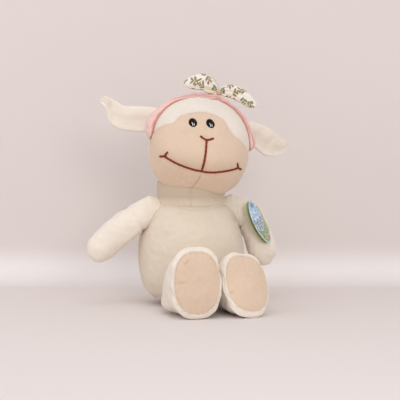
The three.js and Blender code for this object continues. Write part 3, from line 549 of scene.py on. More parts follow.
def clip(points, triangles, field, values):
    """The part of a triangle mesh where the field is positive, cut along the line where it is zero. A new
    point lies on each edge that the line crosses, where the field, taken as straight along it, is zero."""
    inside = field > 0
    edges = np.sort(np.concatenate((triangles[:, :2], triangles[:, 1:], triangles[:, ::2])), axis=1)
    crossed = np.unique(edges[inside[edges[:, 0]] != inside[edges[:, 1]]], axis=0)
    share = field[crossed[:, 0]] / (field[crossed[:, 0]] - field[crossed[:, 1]])
    share = np.clip(share, 0.01, 0.99)[:, None]
    count = len(points)
    codes = crossed[:, 0] * count + crossed[:, 1]

    def between(data):
        """Point data where the line crosses the edges."""
        return data[crossed[:, 0]] * (1 - share) + data[crossed[:, 1]] * share

    def cut_of(a, b):
        """The number of the new point on the edge between two points."""
        return count + np.searchsorted(codes, np.minimum(a, b) * count + np.maximum(a, b))

    all_points = np.concatenate((points, between(points)))
    all_values = np.concatenate((values, between(values)))
    held = inside[triangles]
    faces = triangles[held.all(1)].tolist()
    for number in (1, 2):
        some = triangles[held.sum(1) == number]
        lone = np.argmax(inside[some] == (number == 1), axis=1)
        a, b, c = (some[np.arange(len(some)), (lone + step) % 3] for step in range(3))
        if number == 1:
            faces += np.stack((a, cut_of(a, b), cut_of(a, c)), -1).tolist()
        else:
            faces += np.stack((cut_of(a, b), b, c, cut_of(a, c)), -1).tolist()
    used = np.unique(np.concatenate([np.array(face) for face in faces]))
    renumber = np.zeros(len(all_points), int)
    renumber[used] = np.arange(len(used))
    faces = [[int(renumber[corner]) for corner in face] for face in faces]
    return all_points[used], faces, all_values[used]


def feed(tree, node, inputs):
    """Sets a node's inputs to values, or joins them to sockets."""
    for key, value in inputs.items():
        if isinstance(value, bpy.types.NodeSocket):
            tree.links.new(value, node.inputs[key])
        else:
            node.inputs[key].default_value = value
    return node


def add_node(tree, kind, inputs=None, **settings):
    """A node with its settings and its inputs."""
    node = tree.nodes.new(kind)
    for key, value in settings.items():
        setattr(node, key, value)
    return feed(tree, node, inputs or {})


def math_node(tree, operation, first, second=0.0, third=0.0):
    """The result of a sum on numbers or sockets."""
    return add_node(tree, "ShaderNodeMath", {0: first, 1: second, 2: third}, operation=operation).outputs[0]


def vector_node(tree, operation, first, second=None):
    """The result of a vector sum. The second value of SCALE is its factor."""
    inputs = {0: first}
    if second is not None:
        inputs["Scale" if operation == "SCALE" else 1] = second
    return add_node(tree, "ShaderNodeVectorMath", inputs, operation=operation).outputs[0]


def turned_about_z(tree, vector, angle):
    """A vector turned about Z."""
    inputs = {"Vector": vector, "Angle": angle}
    return add_node(tree, "ShaderNodeVectorRotate", inputs, rotation_type="Z_AXIS").outputs[0]


def mix_colours(tree, share, first, second):
    """Two colours mixed by a share between 0 and 1."""
    return add_node(tree, "ShaderNodeMix", {0: share, 6: first, 7: second}, data_type="RGBA").outputs[2]


def place_of(tree):
    """Where a point lies in its object's frame."""
    return add_node(tree, "ShaderNodeTexCoord").outputs["Object"]


def mask_of(tree, name):
    """A point attribute of the mesh."""
    return add_node(tree, "ShaderNodeAttribute", attribute_name=name).outputs["Fac"]


def noise(tree, place, scale, detail, roughness=0.5):
    """Noise at a place."""
    inputs = {"Vector": place, "Scale": scale, "Detail": detail, "Roughness": roughness}
    return add_node(tree, "ShaderNodeTexNoise", inputs).outputs[0]


def bumped(tree, shader, height, strength, distance):
    """Gives a shader a bump of a strength and a depth from a height."""
    inputs = {"Height": height, "Strength": strength, "Distance": distance}
    feed(tree, shader, {"Normal": add_node(tree, "ShaderNodeBump", inputs).outputs[0]})


def new_group(name, inputs, outputs):
    """A shader node group with named sockets, and its input and output nodes."""
    tree = bpy.data.node_groups.new(name, "ShaderNodeTree")
    for label, kind, value in inputs:
        socket = tree.interface.new_socket(label, in_out="INPUT", socket_type=kind)
        if value is not None:
            socket.default_value = value
    for label, kind in outputs:
        tree.interface.new_socket(label, in_out="OUTPUT", socket_type=kind)
    return tree, tree.nodes.new("NodeGroupInput"), tree.nodes.new("NodeGroupOutput")


def pile_group():
    """Short velvety pile: patches brushed light and dark, tufts a few millimetres wide, and single fibres.
    Tone is about 1 and varies over the surface, and Height is for a bump."""
    found = bpy.data.node_groups.get("Velvet Pile")
    if found:
        return found
    tree, start, end = new_group(
        "Velvet Pile",
        [
            ("Patches", "NodeSocketFloat", 0.06), ("Tufts", "NodeSocketFloat", 0.1),
            ("Length", "NodeSocketFloat", 1.0),
        ],
        [("Tone", "NodeSocketFloat"), ("Height", "NodeSocketFloat")],
    )
    place = place_of(tree)
    patches = noise(tree, place, 28.0, 2.0)
    tufts = noise(tree, place, 300.0, 3.0, 0.6)
    combed = add_node(tree, "ShaderNodeMapping", {"Vector": place, "Scale": (1.0, 1.0, 0.45)}).outputs[0]
    fibres = noise(tree, combed, 1500.0, 2.0, 0.7)
    centred = math_node(tree, "SUBTRACT", patches, 0.5)
    broad = math_node(tree, "MULTIPLY", centred, start.outputs["Patches"])
    half_tufts = math_node(tree, "MULTIPLY", tufts, 0.5)
    fine = math_node(tree, "ADD", half_tufts, math_node(tree, "MULTIPLY", fibres, 0.5))
    small = math_node(tree, "MULTIPLY", math_node(tree, "SUBTRACT", fine, 0.5), start.outputs["Tufts"])
    tone = math_node(tree, "ADD", math_node(tree, "ADD", broad, small), 1.0)
    feed(tree, end, {"Tone": tone, "Height": math_node(tree, "MULTIPLY", fine, start.outputs["Length"])})
    return tree


def new_material(name):
    """An empty material with its Principled shader, and its tree."""
    material = bpy.data.materials.new(name)
    material.use_nodes = True
    tree = material.node_tree
    tree.nodes.clear()
    shader = tree.nodes.new("ShaderNodeBsdfPrincipled")
    output = tree.nodes.new("ShaderNodeOutputMaterial")
    tree.links.new(shader.outputs[0], output.inputs[0])
    return material, tree, shader


def plush_material(name, colour, edge=None):
    """Velvety plush: a tone from the pile, darker where the seam attribute is high, and a soft sheen. That
    attribute marks seams and painted shade. Where an edge colour is given, the edge attribute mixes it in."""
    found = bpy.data.materials.get(name)
    if found:
        return found
    material, tree, shader = new_material(name)
    pile = add_node(tree, "ShaderNodeGroup", node_tree=pile_group())
    feed(tree, pile, {"Patches": PATCHES, "Tufts": TUFTS})
    base = (*colour, 1)
    # On the headband and the knot the edge colour is partly the edge's own and partly painted shade.
    if edge:
        base = mix_colours(tree, mask_of(tree, "edge"), base, (*edge, 1))
    # The seam attribute takes the colour towards a warm dark one, at seams and where shade is painted.
    warm_dark = tuple(c * share for c, share in zip(colour, SEAM_AND_SHADE_TINT))
    share = math_node(tree, "MULTIPLY", mask_of(tree, "seam"), SEAM_AND_SHADE_SHARE)
    deep = mix_colours(tree, share, base, (*warm_dark, 1))
    feed(tree, shader, {
        "Base Color": vector_node(tree, "SCALE", deep, pile.outputs["Tone"]),
        "Roughness": 0.95, "Specular IOR Level": 0.15,
        "Sheen Weight": SHEEN, "Sheen Roughness": 0.45, "Sheen Tint": (1.0, 0.97, 0.93, 1),
    })
    bumped(tree, shader, pile.outputs["Height"], 0.5, 0.6 * MM)
    return material


def thread_material(name, colour, lights=None):
    """Satin embroidery thread: fine grain and a low gloss. The tone attribute mixes in the lights."""
    material, tree, shader = new_material(name)
    base = (*colour, 1)
    if lights:
        ramp = add_node(tree, "ShaderNodeValToRGB", {"Fac": mask_of(tree, "tone")})
        ramp.color_ramp.elements[0].color = base
        ramp.color_ramp.elements[1].color = (*lights[1], 1)
        middle = ramp.color_ramp.elements.new(0.5)
        middle.color = (*lights[0], 1)
        base = ramp.outputs["Color"]
    fibre = noise(tree, place_of(tree), 1800.0, 2.0)
    shade = mix_colours(tree, math_node(tree, "MULTIPLY", fibre, 0.4), base, (0, 0, 0, 1))
    feed(tree, shader, {"Base Color": shade, "Roughness": 0.7, "Specular IOR Level": 0.25})
    bumped(tree, shader, fibre, 0.3, 0.2 * MM)
    return material


def weave_group():
    """Plain weave on a UV map in metres: warp and weft cross over and under. Height is for a bump."""
    found = bpy.data.node_groups.get("Plain Weave")
    if found:
        return found
    tree, start, end = new_group(
        "Plain Weave",
        [("UV", "NodeSocketVector", None), ("Threads per Metre", "NodeSocketFloat", 2600.0)],
        [("Height", "NodeSocketFloat")],
    )
    scaled = vector_node(tree, "SCALE", start.outputs["UV"], start.outputs["Threads per Metre"])
    split = add_node(tree, "ShaderNodeSeparateXYZ", {0: scaled})
    waves = [
        math_node(tree, "SINE", math_node(tree, "MULTIPLY", split.outputs[axis], math.pi)) for axis in (0, 1)
    ]
    feed(tree, end, {"Height": math_node(tree, "MULTIPLY", *waves)})
    return tree


# A sprig's stalk and leaves in cells of width 1: the middle, the half length and half width, and the turn.
SPRIG_LEAVES = (
    ((0.0, 0.0), (0.42, 0.04), 1.5), ((0.24, -0.16), (0.3, 0.15), 0.7), ((-0.22, 0.02), (0.3, 0.15), 2.5),
    ((0.2, 0.26), (0.27, 0.13), 0.9), ((-0.14, 0.44), (0.25, 0.12), 2.2),
)


def sprig_group():
    """Scattered leaf sprigs on a UV map in metres: in each cell of a Voronoi pattern, a stalk with leaves on
    both sides, turned at random. Leaf is their mask and Pick is a number for each sprig."""
    tree, start, end = new_group(
        "Leaf Sprigs",
        [("UV", "NodeSocketVector", None), ("Sprigs per Metre", "NodeSocketFloat", 118.0)],
        [("Leaf", "NodeSocketFloat"), ("Pick", "NodeSocketFloat")],
    )
    scale = start.outputs["Sprigs per Metre"]
    cells = add_node(
        tree, "ShaderNodeTexVoronoi", {"Vector": start.outputs["UV"], "Scale": scale, "Randomness": 0.9},
        voronoi_dimensions="2D",
    )
    scaled = vector_node(tree, "SCALE", start.outputs["UV"], scale)
    middle = vector_node(tree, "SCALE", cells.outputs["Position"], scale)
    local = vector_node(tree, "SUBTRACT", scaled, middle)
    pick = add_node(tree, "ShaderNodeSeparateColor", {0: cells.outputs["Color"]})
    angle = math_node(tree, "MULTIPLY", pick.outputs[0], TAU)
    turned = turned_about_z(tree, local, angle)
    leaf = 0.0
    for place, size, tilt in SPRIG_LEAVES:
        shifted = vector_node(tree, "SUBTRACT", turned, (*place, 0))
        shape = vector_node(tree, "DIVIDE", turned_about_z(tree, shifted, -tilt), (*size, 1))
        flat = vector_node(tree, "MULTIPLY", shape, (1, 1, 0))
        far = add_node(tree, "ShaderNodeVectorMath", {0: flat}, operation="LENGTH").outputs["Value"]
        leaf = math_node(tree, "MAXIMUM", leaf, math_node(tree, "LESS_THAN", far, 1.0))
    feed(tree, end, {"Leaf": leaf, "Pick": pick.outputs[1]})
    return tree


def print_material(name, colours, ground, leaves=0.9):
    """Cotton with a small sprig print in olive and tan, or without it where leaves is 0."""
    material, tree, shader = new_material(name)
    uv = add_node(tree, "ShaderNodeUVMap", uv_map="UVMap").outputs[0]
    sprigs = feed(tree, add_node(tree, "ShaderNodeGroup", node_tree=sprig_group()), {"UV": uv})
    weave = feed(tree, add_node(tree, "ShaderNodeGroup", node_tree=weave_group()), {"UV": uv})
    pick = math_node(tree, "GREATER_THAN", sprigs.outputs["Pick"], 0.5)
    leaf = mix_colours(tree, pick, (*colours.olive, 1), (*colours.tan, 1))
    printed = math_node(tree, "MULTIPLY", sprigs.outputs["Leaf"], leaves)
    cloth = mix_colours(tree, printed, (*ground, 1), leaf)
    # The seam attribute darkens the cloth at seams and where shade is painted.
    sewn = math_node(tree, "MULTIPLY", mask_of(tree, "seam"), 0.5)
    deep = mix_colours(tree, sewn, cloth, (*(c * 0.35 for c in colours.tan), 1))
    feed(tree, shader, {"Base Color": deep, "Roughness": 0.85, "Sheen Weight": 0.1})
    bumped(tree, shader, weave.outputs["Height"], 0.25, 0.1 * MM)
    return material


def card_material(colours):
    """Printed card on a UV map of 0 to 1: sky above, two hills below, and small flowers and clouds, inside a
    white rim."""
    material, tree, shader = new_material("printed card")
    uv = add_node(tree, "ShaderNodeUVMap", uv_map="UVMap").outputs[0]
    split = add_node(tree, "ShaderNodeSeparateXYZ", {0: uv})
    across, up = split.outputs[0], split.outputs[1]
    colour = mix_colours(tree, up, (*colours.lilac, 1), (*colours.sky, 1))
    for phase, base, tint in TAG_HILLS:
        wave = math_node(tree, "SINE", math_node(tree, "MULTIPLY_ADD", across, 4.2, phase))
        crest = math_node(tree, "MULTIPLY_ADD", wave, 0.07, base)
        share = math_node(tree, "LESS_THAN", up, crest)
        colour = mix_colours(tree, share, colour, (*getattr(colours, tint), 1))
    for scale, size, low, high, petals, tint in TAG_DOTS:
        inputs = {"Vector": uv, "Scale": (0.5, 1.0, 1.0), "Location": (size * 7, size * 3, 0)}
        stretched = add_node(tree, "ShaderNodeMapping", inputs)
        place = vector_node(tree, "SCALE", stretched.outputs[0], scale)
        inputs = {"Vector": place, "Scale": 1.0}
        cells = add_node(tree, "ShaderNodeTexVoronoi", inputs, voronoi_dimensions="2D")
        local = vector_node(tree, "SUBTRACT", place, cells.outputs["Position"])
        parts = add_node(tree, "ShaderNodeSeparateXYZ", {0: local})
        round_it = math_node(tree, "ARCTAN2", parts.outputs[1], parts.outputs[0])
        lobes = math_node(tree, "COSINE", math_node(tree, "MULTIPLY", round_it, float(petals)))
        reach = math_node(tree, "MULTIPLY_ADD", lobes, size * 0.3, size * 0.8)
        dots = math_node(tree, "LESS_THAN", cells.outputs["Distance"], reach)
        above = math_node(tree, "GREATER_THAN", up, low)
        inside = math_node(tree, "MULTIPLY", above, math_node(tree, "LESS_THAN", up, high))
        share = math_node(tree, "MULTIPLY", dots, inside)
        colour = mix_colours(tree, share, colour, (*getattr(colours, tint), 1))
    colour = mix_colours(tree, mask_of(tree, "edge"), colour, (*colours.cloud, 1))
    rough = math_node(tree, "MULTIPLY_ADD", noise(tree, place_of(tree), 900.0, 2.0), 0.2, 0.35)
    feed(tree, shader, {"Base Color": colour, "Roughness": rough, "Coat Weight": 0.15})
    return material


def plain_material(name, colour, roughness, scale, strength, transmission=0.0):
    """One colour with a fine grain in its tone and bump, for the inner fill and small trim."""
    material, tree, shader = new_material(name)
    grain = noise(tree, place_of(tree), scale, 4.0)
    share = math_node(tree, "MULTIPLY", grain, strength)
    shade = mix_colours(tree, share, (*colour, 1), (*(c * 0.55 for c in colour), 1))
    feed(tree, shader, {"Base Color": shade, "Roughness": roughness, "Transmission Weight": transmission})
    bumped(tree, shader, grain, 0.4, 0.4 * MM)
    return material


def fibre_material():
    """White fibre fill."""
    found = bpy.data.materials.get("fibre fill")
    return found or plain_material("fibre fill", linear(244, 242, 238), 1.0, 260.0, 0.5)


def give(obj, body, slot, *nodes):
    """The piece rides on a body and stands for its CAD nodes, which it hides. Its slot is not used."""
    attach(obj, body)
    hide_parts(*nodes)
    return obj


# The head's turn at rest, and the middle of the neck's ball.
HEAD_TURNED = np.array(Matrix.Rotation(HEAD_TURN, 3, "Z") @ Matrix.Rotation(HEAD_ROLL, 3, "Y"))
NECK_MIDDLE = np.array(JOINTS["head_nod"]["pos_m"])


def from_head(points):
    """Points of the head's frame in the toy's frame."""
    return points @ HEAD_TURNED.T + NECK_MIDDLE


def torso_form(points):
    """1 on the torso's skin, growing outwards: superellipses of the torso's powers about its widest place."""
    low_corner, high_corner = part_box("torso_cover")
    width, depth = (high_corner[axis] - low_corner[axis] for axis in (0, 1))
    x, y, z = np.moveaxis(points, -1, 0)
    low, high, section = TORSO_POWERS
    power = np.where(z < 0, low, high)
    tall = np.where(z < 0, TORSO_WIDEST + TORSO_SUNK, TORSO_TOP - TORSO_WIDEST)
    ring = (np.abs(x) / (width / 2)) ** section + (np.abs(y) / (depth / 2)) ** section
    return ring ** (power / section) + (np.abs(z) / tall) ** power


def seam_on(points, distance, along, depth=SEAM_DEPTH, width=SEAM_WIDTH):
    """How far a seam draws the cloth in at a distance from it, with puckers along its run, and its mask."""
    groove = crease(distance, width)
    phase = along * (TAU / PUCKER_STEP) + 2.5 * ripple(points, 30 * MM, 3)
    pucker = np.sin(phase) * np.exp(-np.abs(distance) / (3.5 * MM))
    return -depth * groove + PUCKER * pucker - 0.5 * MM * crease(distance, 5 * MM), groove


def seams_along(grid, turn, places, radius, along, depth=LIMB_SEAM, aside=0.0):
    """The grooves and the mask of seams that run along a grid whose sections have the given radius, at some
    angles of the section, all turned by the angle aside."""
    out = np.zeros(grid.shape[:2])
    seam = np.zeros(grid.shape[:2])
    for where in places:
        gap = apart(turn - where, aside) * radius
        groove, mask = seam_on(grid, gap, along + 0 * turn, depth, FINE_SEAM)
        out += groove
        seam = np.maximum(seam, mask)
    return out, seam


def torso_skin():
    """The torso's grid and its seam mask: the form, with side seams, a back seam, hollows where the limbs
    and the neck are sewn on, folds that run out from them, and a flat seat on the floor."""
    ways = directions(*TORSO_GRID)
    centre = np.array((0, 0, TORSO_WIDEST))
    points = centre + ways * skin_distance(torso_form, ways)[..., None]
    normals = grid_normals(points, centre)
    x, y, z = np.moveaxis(points, -1, 0)
    side, side_seam = seam_on(points, y - TORSO_SEAM_Y, z)
    back, back_seam = seam_on(points, np.where(y > 0, x, 1), z)
    side_share = smooth((np.abs(x) - 20 * MM) / (10 * MM))
    out = side * side_share + back + 0.9 * MM * ripple(points, 60 * MM, 11)
    out = out + 0.3 * MM * ripple(points, 17 * MM, 12)
    seam = np.maximum(side_seam * side_share, back_seam)
    for place, radius in ((SHOULDER, SHOULDER_RING), (HIP, HIP_RING)):
        for hand in (-1, 1):
            root = place * (hand, 1, 1)
            away = np.linalg.norm(points - root, axis=-1)
            round_root = np.arctan2(points[..., 2] - root[2], points[..., 1] - root[1])
            folds = np.sin(7 * round_root + 2 * ripple(points, 40 * MM, 5))
            folds = folds * np.exp(-((away - radius) / (13 * MM)) ** 2)
            below = smooth((root[2] + 4 * MM - points[..., 2]) / (10 * MM))
            out += (0.5 * MM * folds - 1.4 * MM * crease(away - radius, 3.5 * MM)) * below
            seam = np.maximum(seam, 0.5 * crease(away - radius, 1.6 * MM) * below)
    off_neck = np.where(z > TORSO_NECK_FROM, np.hypot(x, y) - NECK_DRUM, 1)
    out += -0.6 * MM * crease(off_neck, 3 * MM)
    seam = np.maximum(seam, 0.4 * crease(off_neck, 1.2 * MM))
    held = np.maximum(seam, points[..., 2] < SEAT_HEIGHT)
    points = blown_up(points + normals * (out - SLACK)[..., None], held)
    points[..., 2] = np.maximum(points[..., 2], 0)
    return points, seam


def neck_skin():
    """The neck's grid and its mask of seams and of painted shade under the head: a profile turned about the
    neck's axis, drawn in where it is sewn to the torso, and ending in the ball that the head sits on."""
    drum_top = NECK_MIDDLE[2] - math.sqrt(NECK_BALL**2 - NECK_DRUM**2)
    low = drum_top - NECK_SUNK
    angle = np.linspace(-math.asin(math.sqrt(1 - (NECK_DRUM / NECK_BALL) ** 2)), NECK_TOP, 40)
    radii = np.concatenate((
        (0, 20 * MM, 34 * MM, 35.4 * MM, 36.3 * MM, 36.6 * MM), NECK_BALL * np.cos(angle), (0,)
    ))
    heights = np.concatenate((
        (low, low, low + 1 * MM, low + 5 * MM, low + 8 * MM, drum_top - 3 * MM),
        NECK_MIDDLE[2] + NECK_BALL * np.sin(angle),
        (NECK_MIDDLE[2] + NECK_BALL * math.sin(NECK_TOP),),
    ))
    length = np.concatenate(((0,), np.cumsum(np.hypot(np.diff(radii), np.diff(heights)))))
    rows, columns = NECK_GRID
    at = np.linspace(0, length[-1], rows)
    radius = np.interp(at, length, radii)[:, None]
    height = np.interp(at, length, heights)[:, None]
    turn = ring_angles(columns)
    points = stacked(radius * np.cos(turn), radius * np.sin(turn), height)
    centre = stacked(0 * turn, 0 * turn, height)
    normals = grid_normals(points, centre)
    normals[0] = (0, 0, -1)
    normals[-1] = (0, 0, 1)
    front = NECK_SEAM_TURN - math.pi / 2
    places = (front, front + math.pi)
    out, seam = seams_along(points, turn, places, np.maximum(radius, 1 * MM), height, FINE_SEAM)
    body = smooth((radius - 25 * MM) / (8 * MM))
    out = out * body + 0.5 * MM * ripple(points, 35 * MM, 21) * body
    forward = smooth(0.75 + 0.6 * np.cos(turn - front))
    # Painted shade: the cloth darkens towards the top of the neck, most at its front, where the head shades it.
    painted_chin_shade = PAINTED_CHIN_SHADE * smooth((height - 104 * MM) / (12 * MM)) * (0.3 + 0.7 * forward)
    seam = np.maximum(seam * body * 0.8, 0.6 * crease(height - 105.5 * MM, 1.4 * MM) + 0 * turn)
    seam = np.maximum(seam, painted_chin_shade + 0 * turn)
    return points + normals * out[..., None], seam


def head_form(points):
    """1 on the head's skin, growing outwards: superellipses about its middle, with a bell-shaped muzzle."""
    x, y, z = np.moveaxis(points, -1, 0)
    low, high, section = HEAD_POWERS
    power = np.where(z < 0, low, high)
    bulge = MUZZLE_OUT * np.exp(-(((z + MUZZLE_BELOW) / MUZZLE_SPREAD) ** 2))
    depth = np.where(y < 0, HEAD_FRONT + bulge, HEAD_BACK)
    ring = (np.abs(x) / HEAD_HALF) ** section + (np.abs(y) / depth) ** section
    return ring ** (power / section) + (np.abs(z) / HEAD_HALF) ** power


def distance_inside(places, outline):
    """How far each place lies inside a closed outline, negative outside: the least distance to its sides,
    signed by how often a ray crosses them."""
    step = np.roll(outline, -1, 0) - outline
    to = places[..., None, :] - outline
    share = np.clip((to * step).sum(-1) / (step**2).sum(-1), 0, 1)
    least = np.linalg.norm(to - share[..., None] * step, axis=-1).min(-1)
    above = to[..., 1] < 0
    above_next = np.roll(above, -1, -1)
    level = np.where(step[:, 1] == 0, 1e-9, step[:, 1])
    crossing = outline[:, 0] + to[..., 1] * step[:, 0] / level
    crossings = ((above != above_next) & (places[..., None, 0] < crossing)).sum(-1)
    return np.where(crossings % 2 == 1, least, -least)


def smile_height(x):
    """The height of the smile at a distance aside: a parabola between its corners."""
    return MOUTH_LOW + (MOUTH_CORNER - MOUTH_LOW) * (x / MOUTH_HALF) ** 2


# The chin's seam, seen straight ahead, from the middle of the head.
CHIN_SEAM = np.array(((0, -31), (-1, -37), (-4, -44), (-7, -49), (-10, -60))) * MM
FACE_OUTLINE = catmull(FACE_EDGE, 100, closed=True)


def head_skin(ways):
    """The head's points for an array of directions, about its middle, with the face field and the seam mask.
    The cloth is drawn in along its seams, along the embroidery and round the eyes."""
    points = ways * skin_distance(head_form, ways)[..., None]
    x, y, z = np.moveaxis(points, -1, 0)
    flat = points[..., (0, 2)]
    face = distance_inside(flat, FACE_OUTLINE)
    front = smooth((PANEL_BACK + 6 * MM - y) / (12 * MM) - 0.4)
    ahead = y < PANEL_BACK
    panel, panel_seam = seam_on(points, np.where(ahead, face, 1), x, 0.6 * MM, 1.0 * MM)
    back, back_seam = seam_on(points, y - PANEL_BACK, z + x, 1.0 * MM, 1.1 * MM)
    chin = np.linalg.norm(flat[..., None, :] - catmull(CHIN_SEAM, 40), axis=-1).min(-1)
    chin_out, chin_seam = seam_on(points, np.where(y < 0, chin, 1), z, 0.9 * MM, 0.8 * MM)
    crown, crown_seam = seam_on(points, np.where(y > PANEL_BACK, x, 1), y, 0.9 * MM, 1.0 * MM)
    out = 1.3 * MM + 0.6 * MM * front + panel + back + chin_out + crown
    out += 0.7 * MM * ripple(points, 55 * MM, 31) + 0.6 * MM * front * smooth(face / (9 * MM))
    smile = np.abs(z - smile_height(x)) + 10 * MM * smooth((np.abs(x) - MOUTH_HALF) / (4 * MM))
    stem = np.abs(x) + 10 * MM * smooth((z - NOSE_TOP) / (4 * MM))
    stem = stem + 10 * MM * smooth((NOSE_FOOT - z) / (4 * MM))
    for line in (smile, stem):
        out -= np.where(ahead, 0.9 * MM * crease(line, 4 * MM), 0)
    for aside, above in EYE_PLACES.values():
        near = np.hypot(x - aside, z - above)
        out -= np.where(ahead, 0.9 * MM * crease(near, 7.5 * MM), 0)
    points = points + unit(points) * out[..., None] + HEAD_CENTRE
    masks = (panel_seam * ahead * 0.25, back_seam, chin_seam * (y < 0) * 0.8, crown_seam * (y > 0))
    return points, face, np.max(masks, axis=0)


def on_face(places, rise):
    """Points on the head's front for places [aside, above] seen straight ahead, raised along the normals, and
    the normals, in the toy's frame."""
    places = np.asarray(places, float)

    def skin(shifted):
        """Points of the head's skin for places seen straight ahead."""
        x, z = shifted[..., 0], shifted[..., 1]
        ahead = outermost(lambda out: head_form(np.stack((x, -out, z), -1)), x.shape)
        return head_skin(unit(np.stack((x, -ahead, z), -1)))[0]

    step = 0.5 * MM
    points = skin(places)
    aside = skin(places + (step, 0)) - points
    above = skin(places + (0, step)) - points
    normals = unit(np.cross(aside, above))
    return from_head(points + normals * rise), normals @ HEAD_TURNED.T


def stitched_line(name, lines, material):
    """Embroidered lines as one piece: along each, a rounded ridge that narrows between stitches and carries
    the twist of its thread."""
    points_all, faces_all, count = [], [], 0
    for places in lines:
        length = np.concatenate(((0,), np.cumsum(np.linalg.norm(np.diff(places, axis=0), axis=1))))
        rows = max(24, int(length[-1] / (0.28 * MM)))
        at = np.linspace(0, length[-1], rows)
        path = np.stack([np.interp(at, length, places[:, axis]) for axis in (0, 1)], -1)
        middle, normals = on_face(path, 0.35 * MM)
        along = unit(np.gradient(middle, axis=0))
        across = np.cross(along, normals)
        turn = ring_angles(14)[0]
        stitch = 0.78 + 0.22 * np.abs(np.sin(at * (math.pi / STITCH_STEP))) ** 0.6
        ends = np.sqrt(np.clip(np.minimum(at, length[-1] - at) / (0.8 * MM), 0, 1))
        twist = 1 + 0.12 * np.cos(3 * turn[None] + at[:, None] * (TAU / TWIST_STEP))
        size = (THREAD_HALF * stitch * ends)[:, None] * twist
        grid = (
            middle[:, None]
            + across[:, None] * (size * np.cos(turn))[..., None]
            + normals[:, None] * (size * 0.85 * np.sin(turn))[..., None]
        )
        points = poled(grid)
        quads, fans = turned_outwards(points - points.mean(0), *poled_faces(rows, len(turn)))
        faces_all += (quads + count).tolist() + (fans + count).tolist()
        points_all.append(points)
        count += len(points)
    return build_mesh(name, np.concatenate(points_all), faces_all, material)


def embroidered_eye(name, place, material):
    """An oval of slanted satin threads side by side, arched over the oval. Two short strokes of the lower
    half are in light thread."""
    half_wide, half_high = EYE_HALF
    threads, rows, sides = 23, 21, 7
    aside = np.linspace(-0.96, 0.96, threads)[:, None, None] + np.zeros((1, rows, sides))
    reach = np.sqrt(1 - aside**2)
    jitter = 0.07 * np.sin(np.arange(threads) * 2.4)[:, None, None]
    up = np.linspace(-1, 1, rows)[None, :, None] * (reach + jitter)
    slanted = aside - EYE_SLANT * up
    turn = ring_angles(sides)[None]
    ends = np.sqrt(np.clip(1 - np.linspace(-1, 1, rows) ** 8, 0, 1))[None, :, None]
    thick = half_wide / threads * 1.2
    arch = 0.8 * MM * np.sqrt(np.clip(1 - aside**2 - (up * 0.97) ** 2, 0.02, 1))
    centre, normal = on_face([place], 0.0)
    out = normal[0]
    right = unit(np.cross((0, 0, 1), out))
    right = right if right[0] > 0 else -right
    top = np.cross(out, right)
    x = slanted * half_wide + thick * ends * np.cos(turn)
    y = arch + thick * 0.8 * ends * np.sin(turn)
    high = up * half_high + 0 * turn
    grid = centre[0] + x[..., None] * right + y[..., None] * out + high[..., None] * top
    strokes = []
    for start, end, width in EYE_STROKES:
        run = np.array(end) - start
        to = np.stack((slanted - start[0], up - start[1]), -1)
        share = np.clip((to * run).sum(-1) / (run**2).sum(), 0, 1)
        strokes.append(np.linalg.norm(to - share[..., None] * run, axis=-1) < width)
    grey = (slanted > 0.3) & (up > 0.05) & (up < 0.5)
    tone = np.where(strokes[0] | strokes[1], 1.0, np.where(grey, 0.35, 0.0))
    quads, fans = poled_faces(rows, sides)
    size = 2 + (rows - 2) * sides
    points = np.concatenate([poled(thread) for thread in grid])
    tones = np.concatenate([poled(thread) for thread in tone])
    one = poled(grid[0])
    quads, fans = turned_outwards(one - one.mean(0), quads, fans)
    faces = []
    for number in range(threads):
        faces += (quads + number * size).tolist() + (fans + number * size).tolist()
    return build_mesh(name, points, faces, material, {"tone": tones})


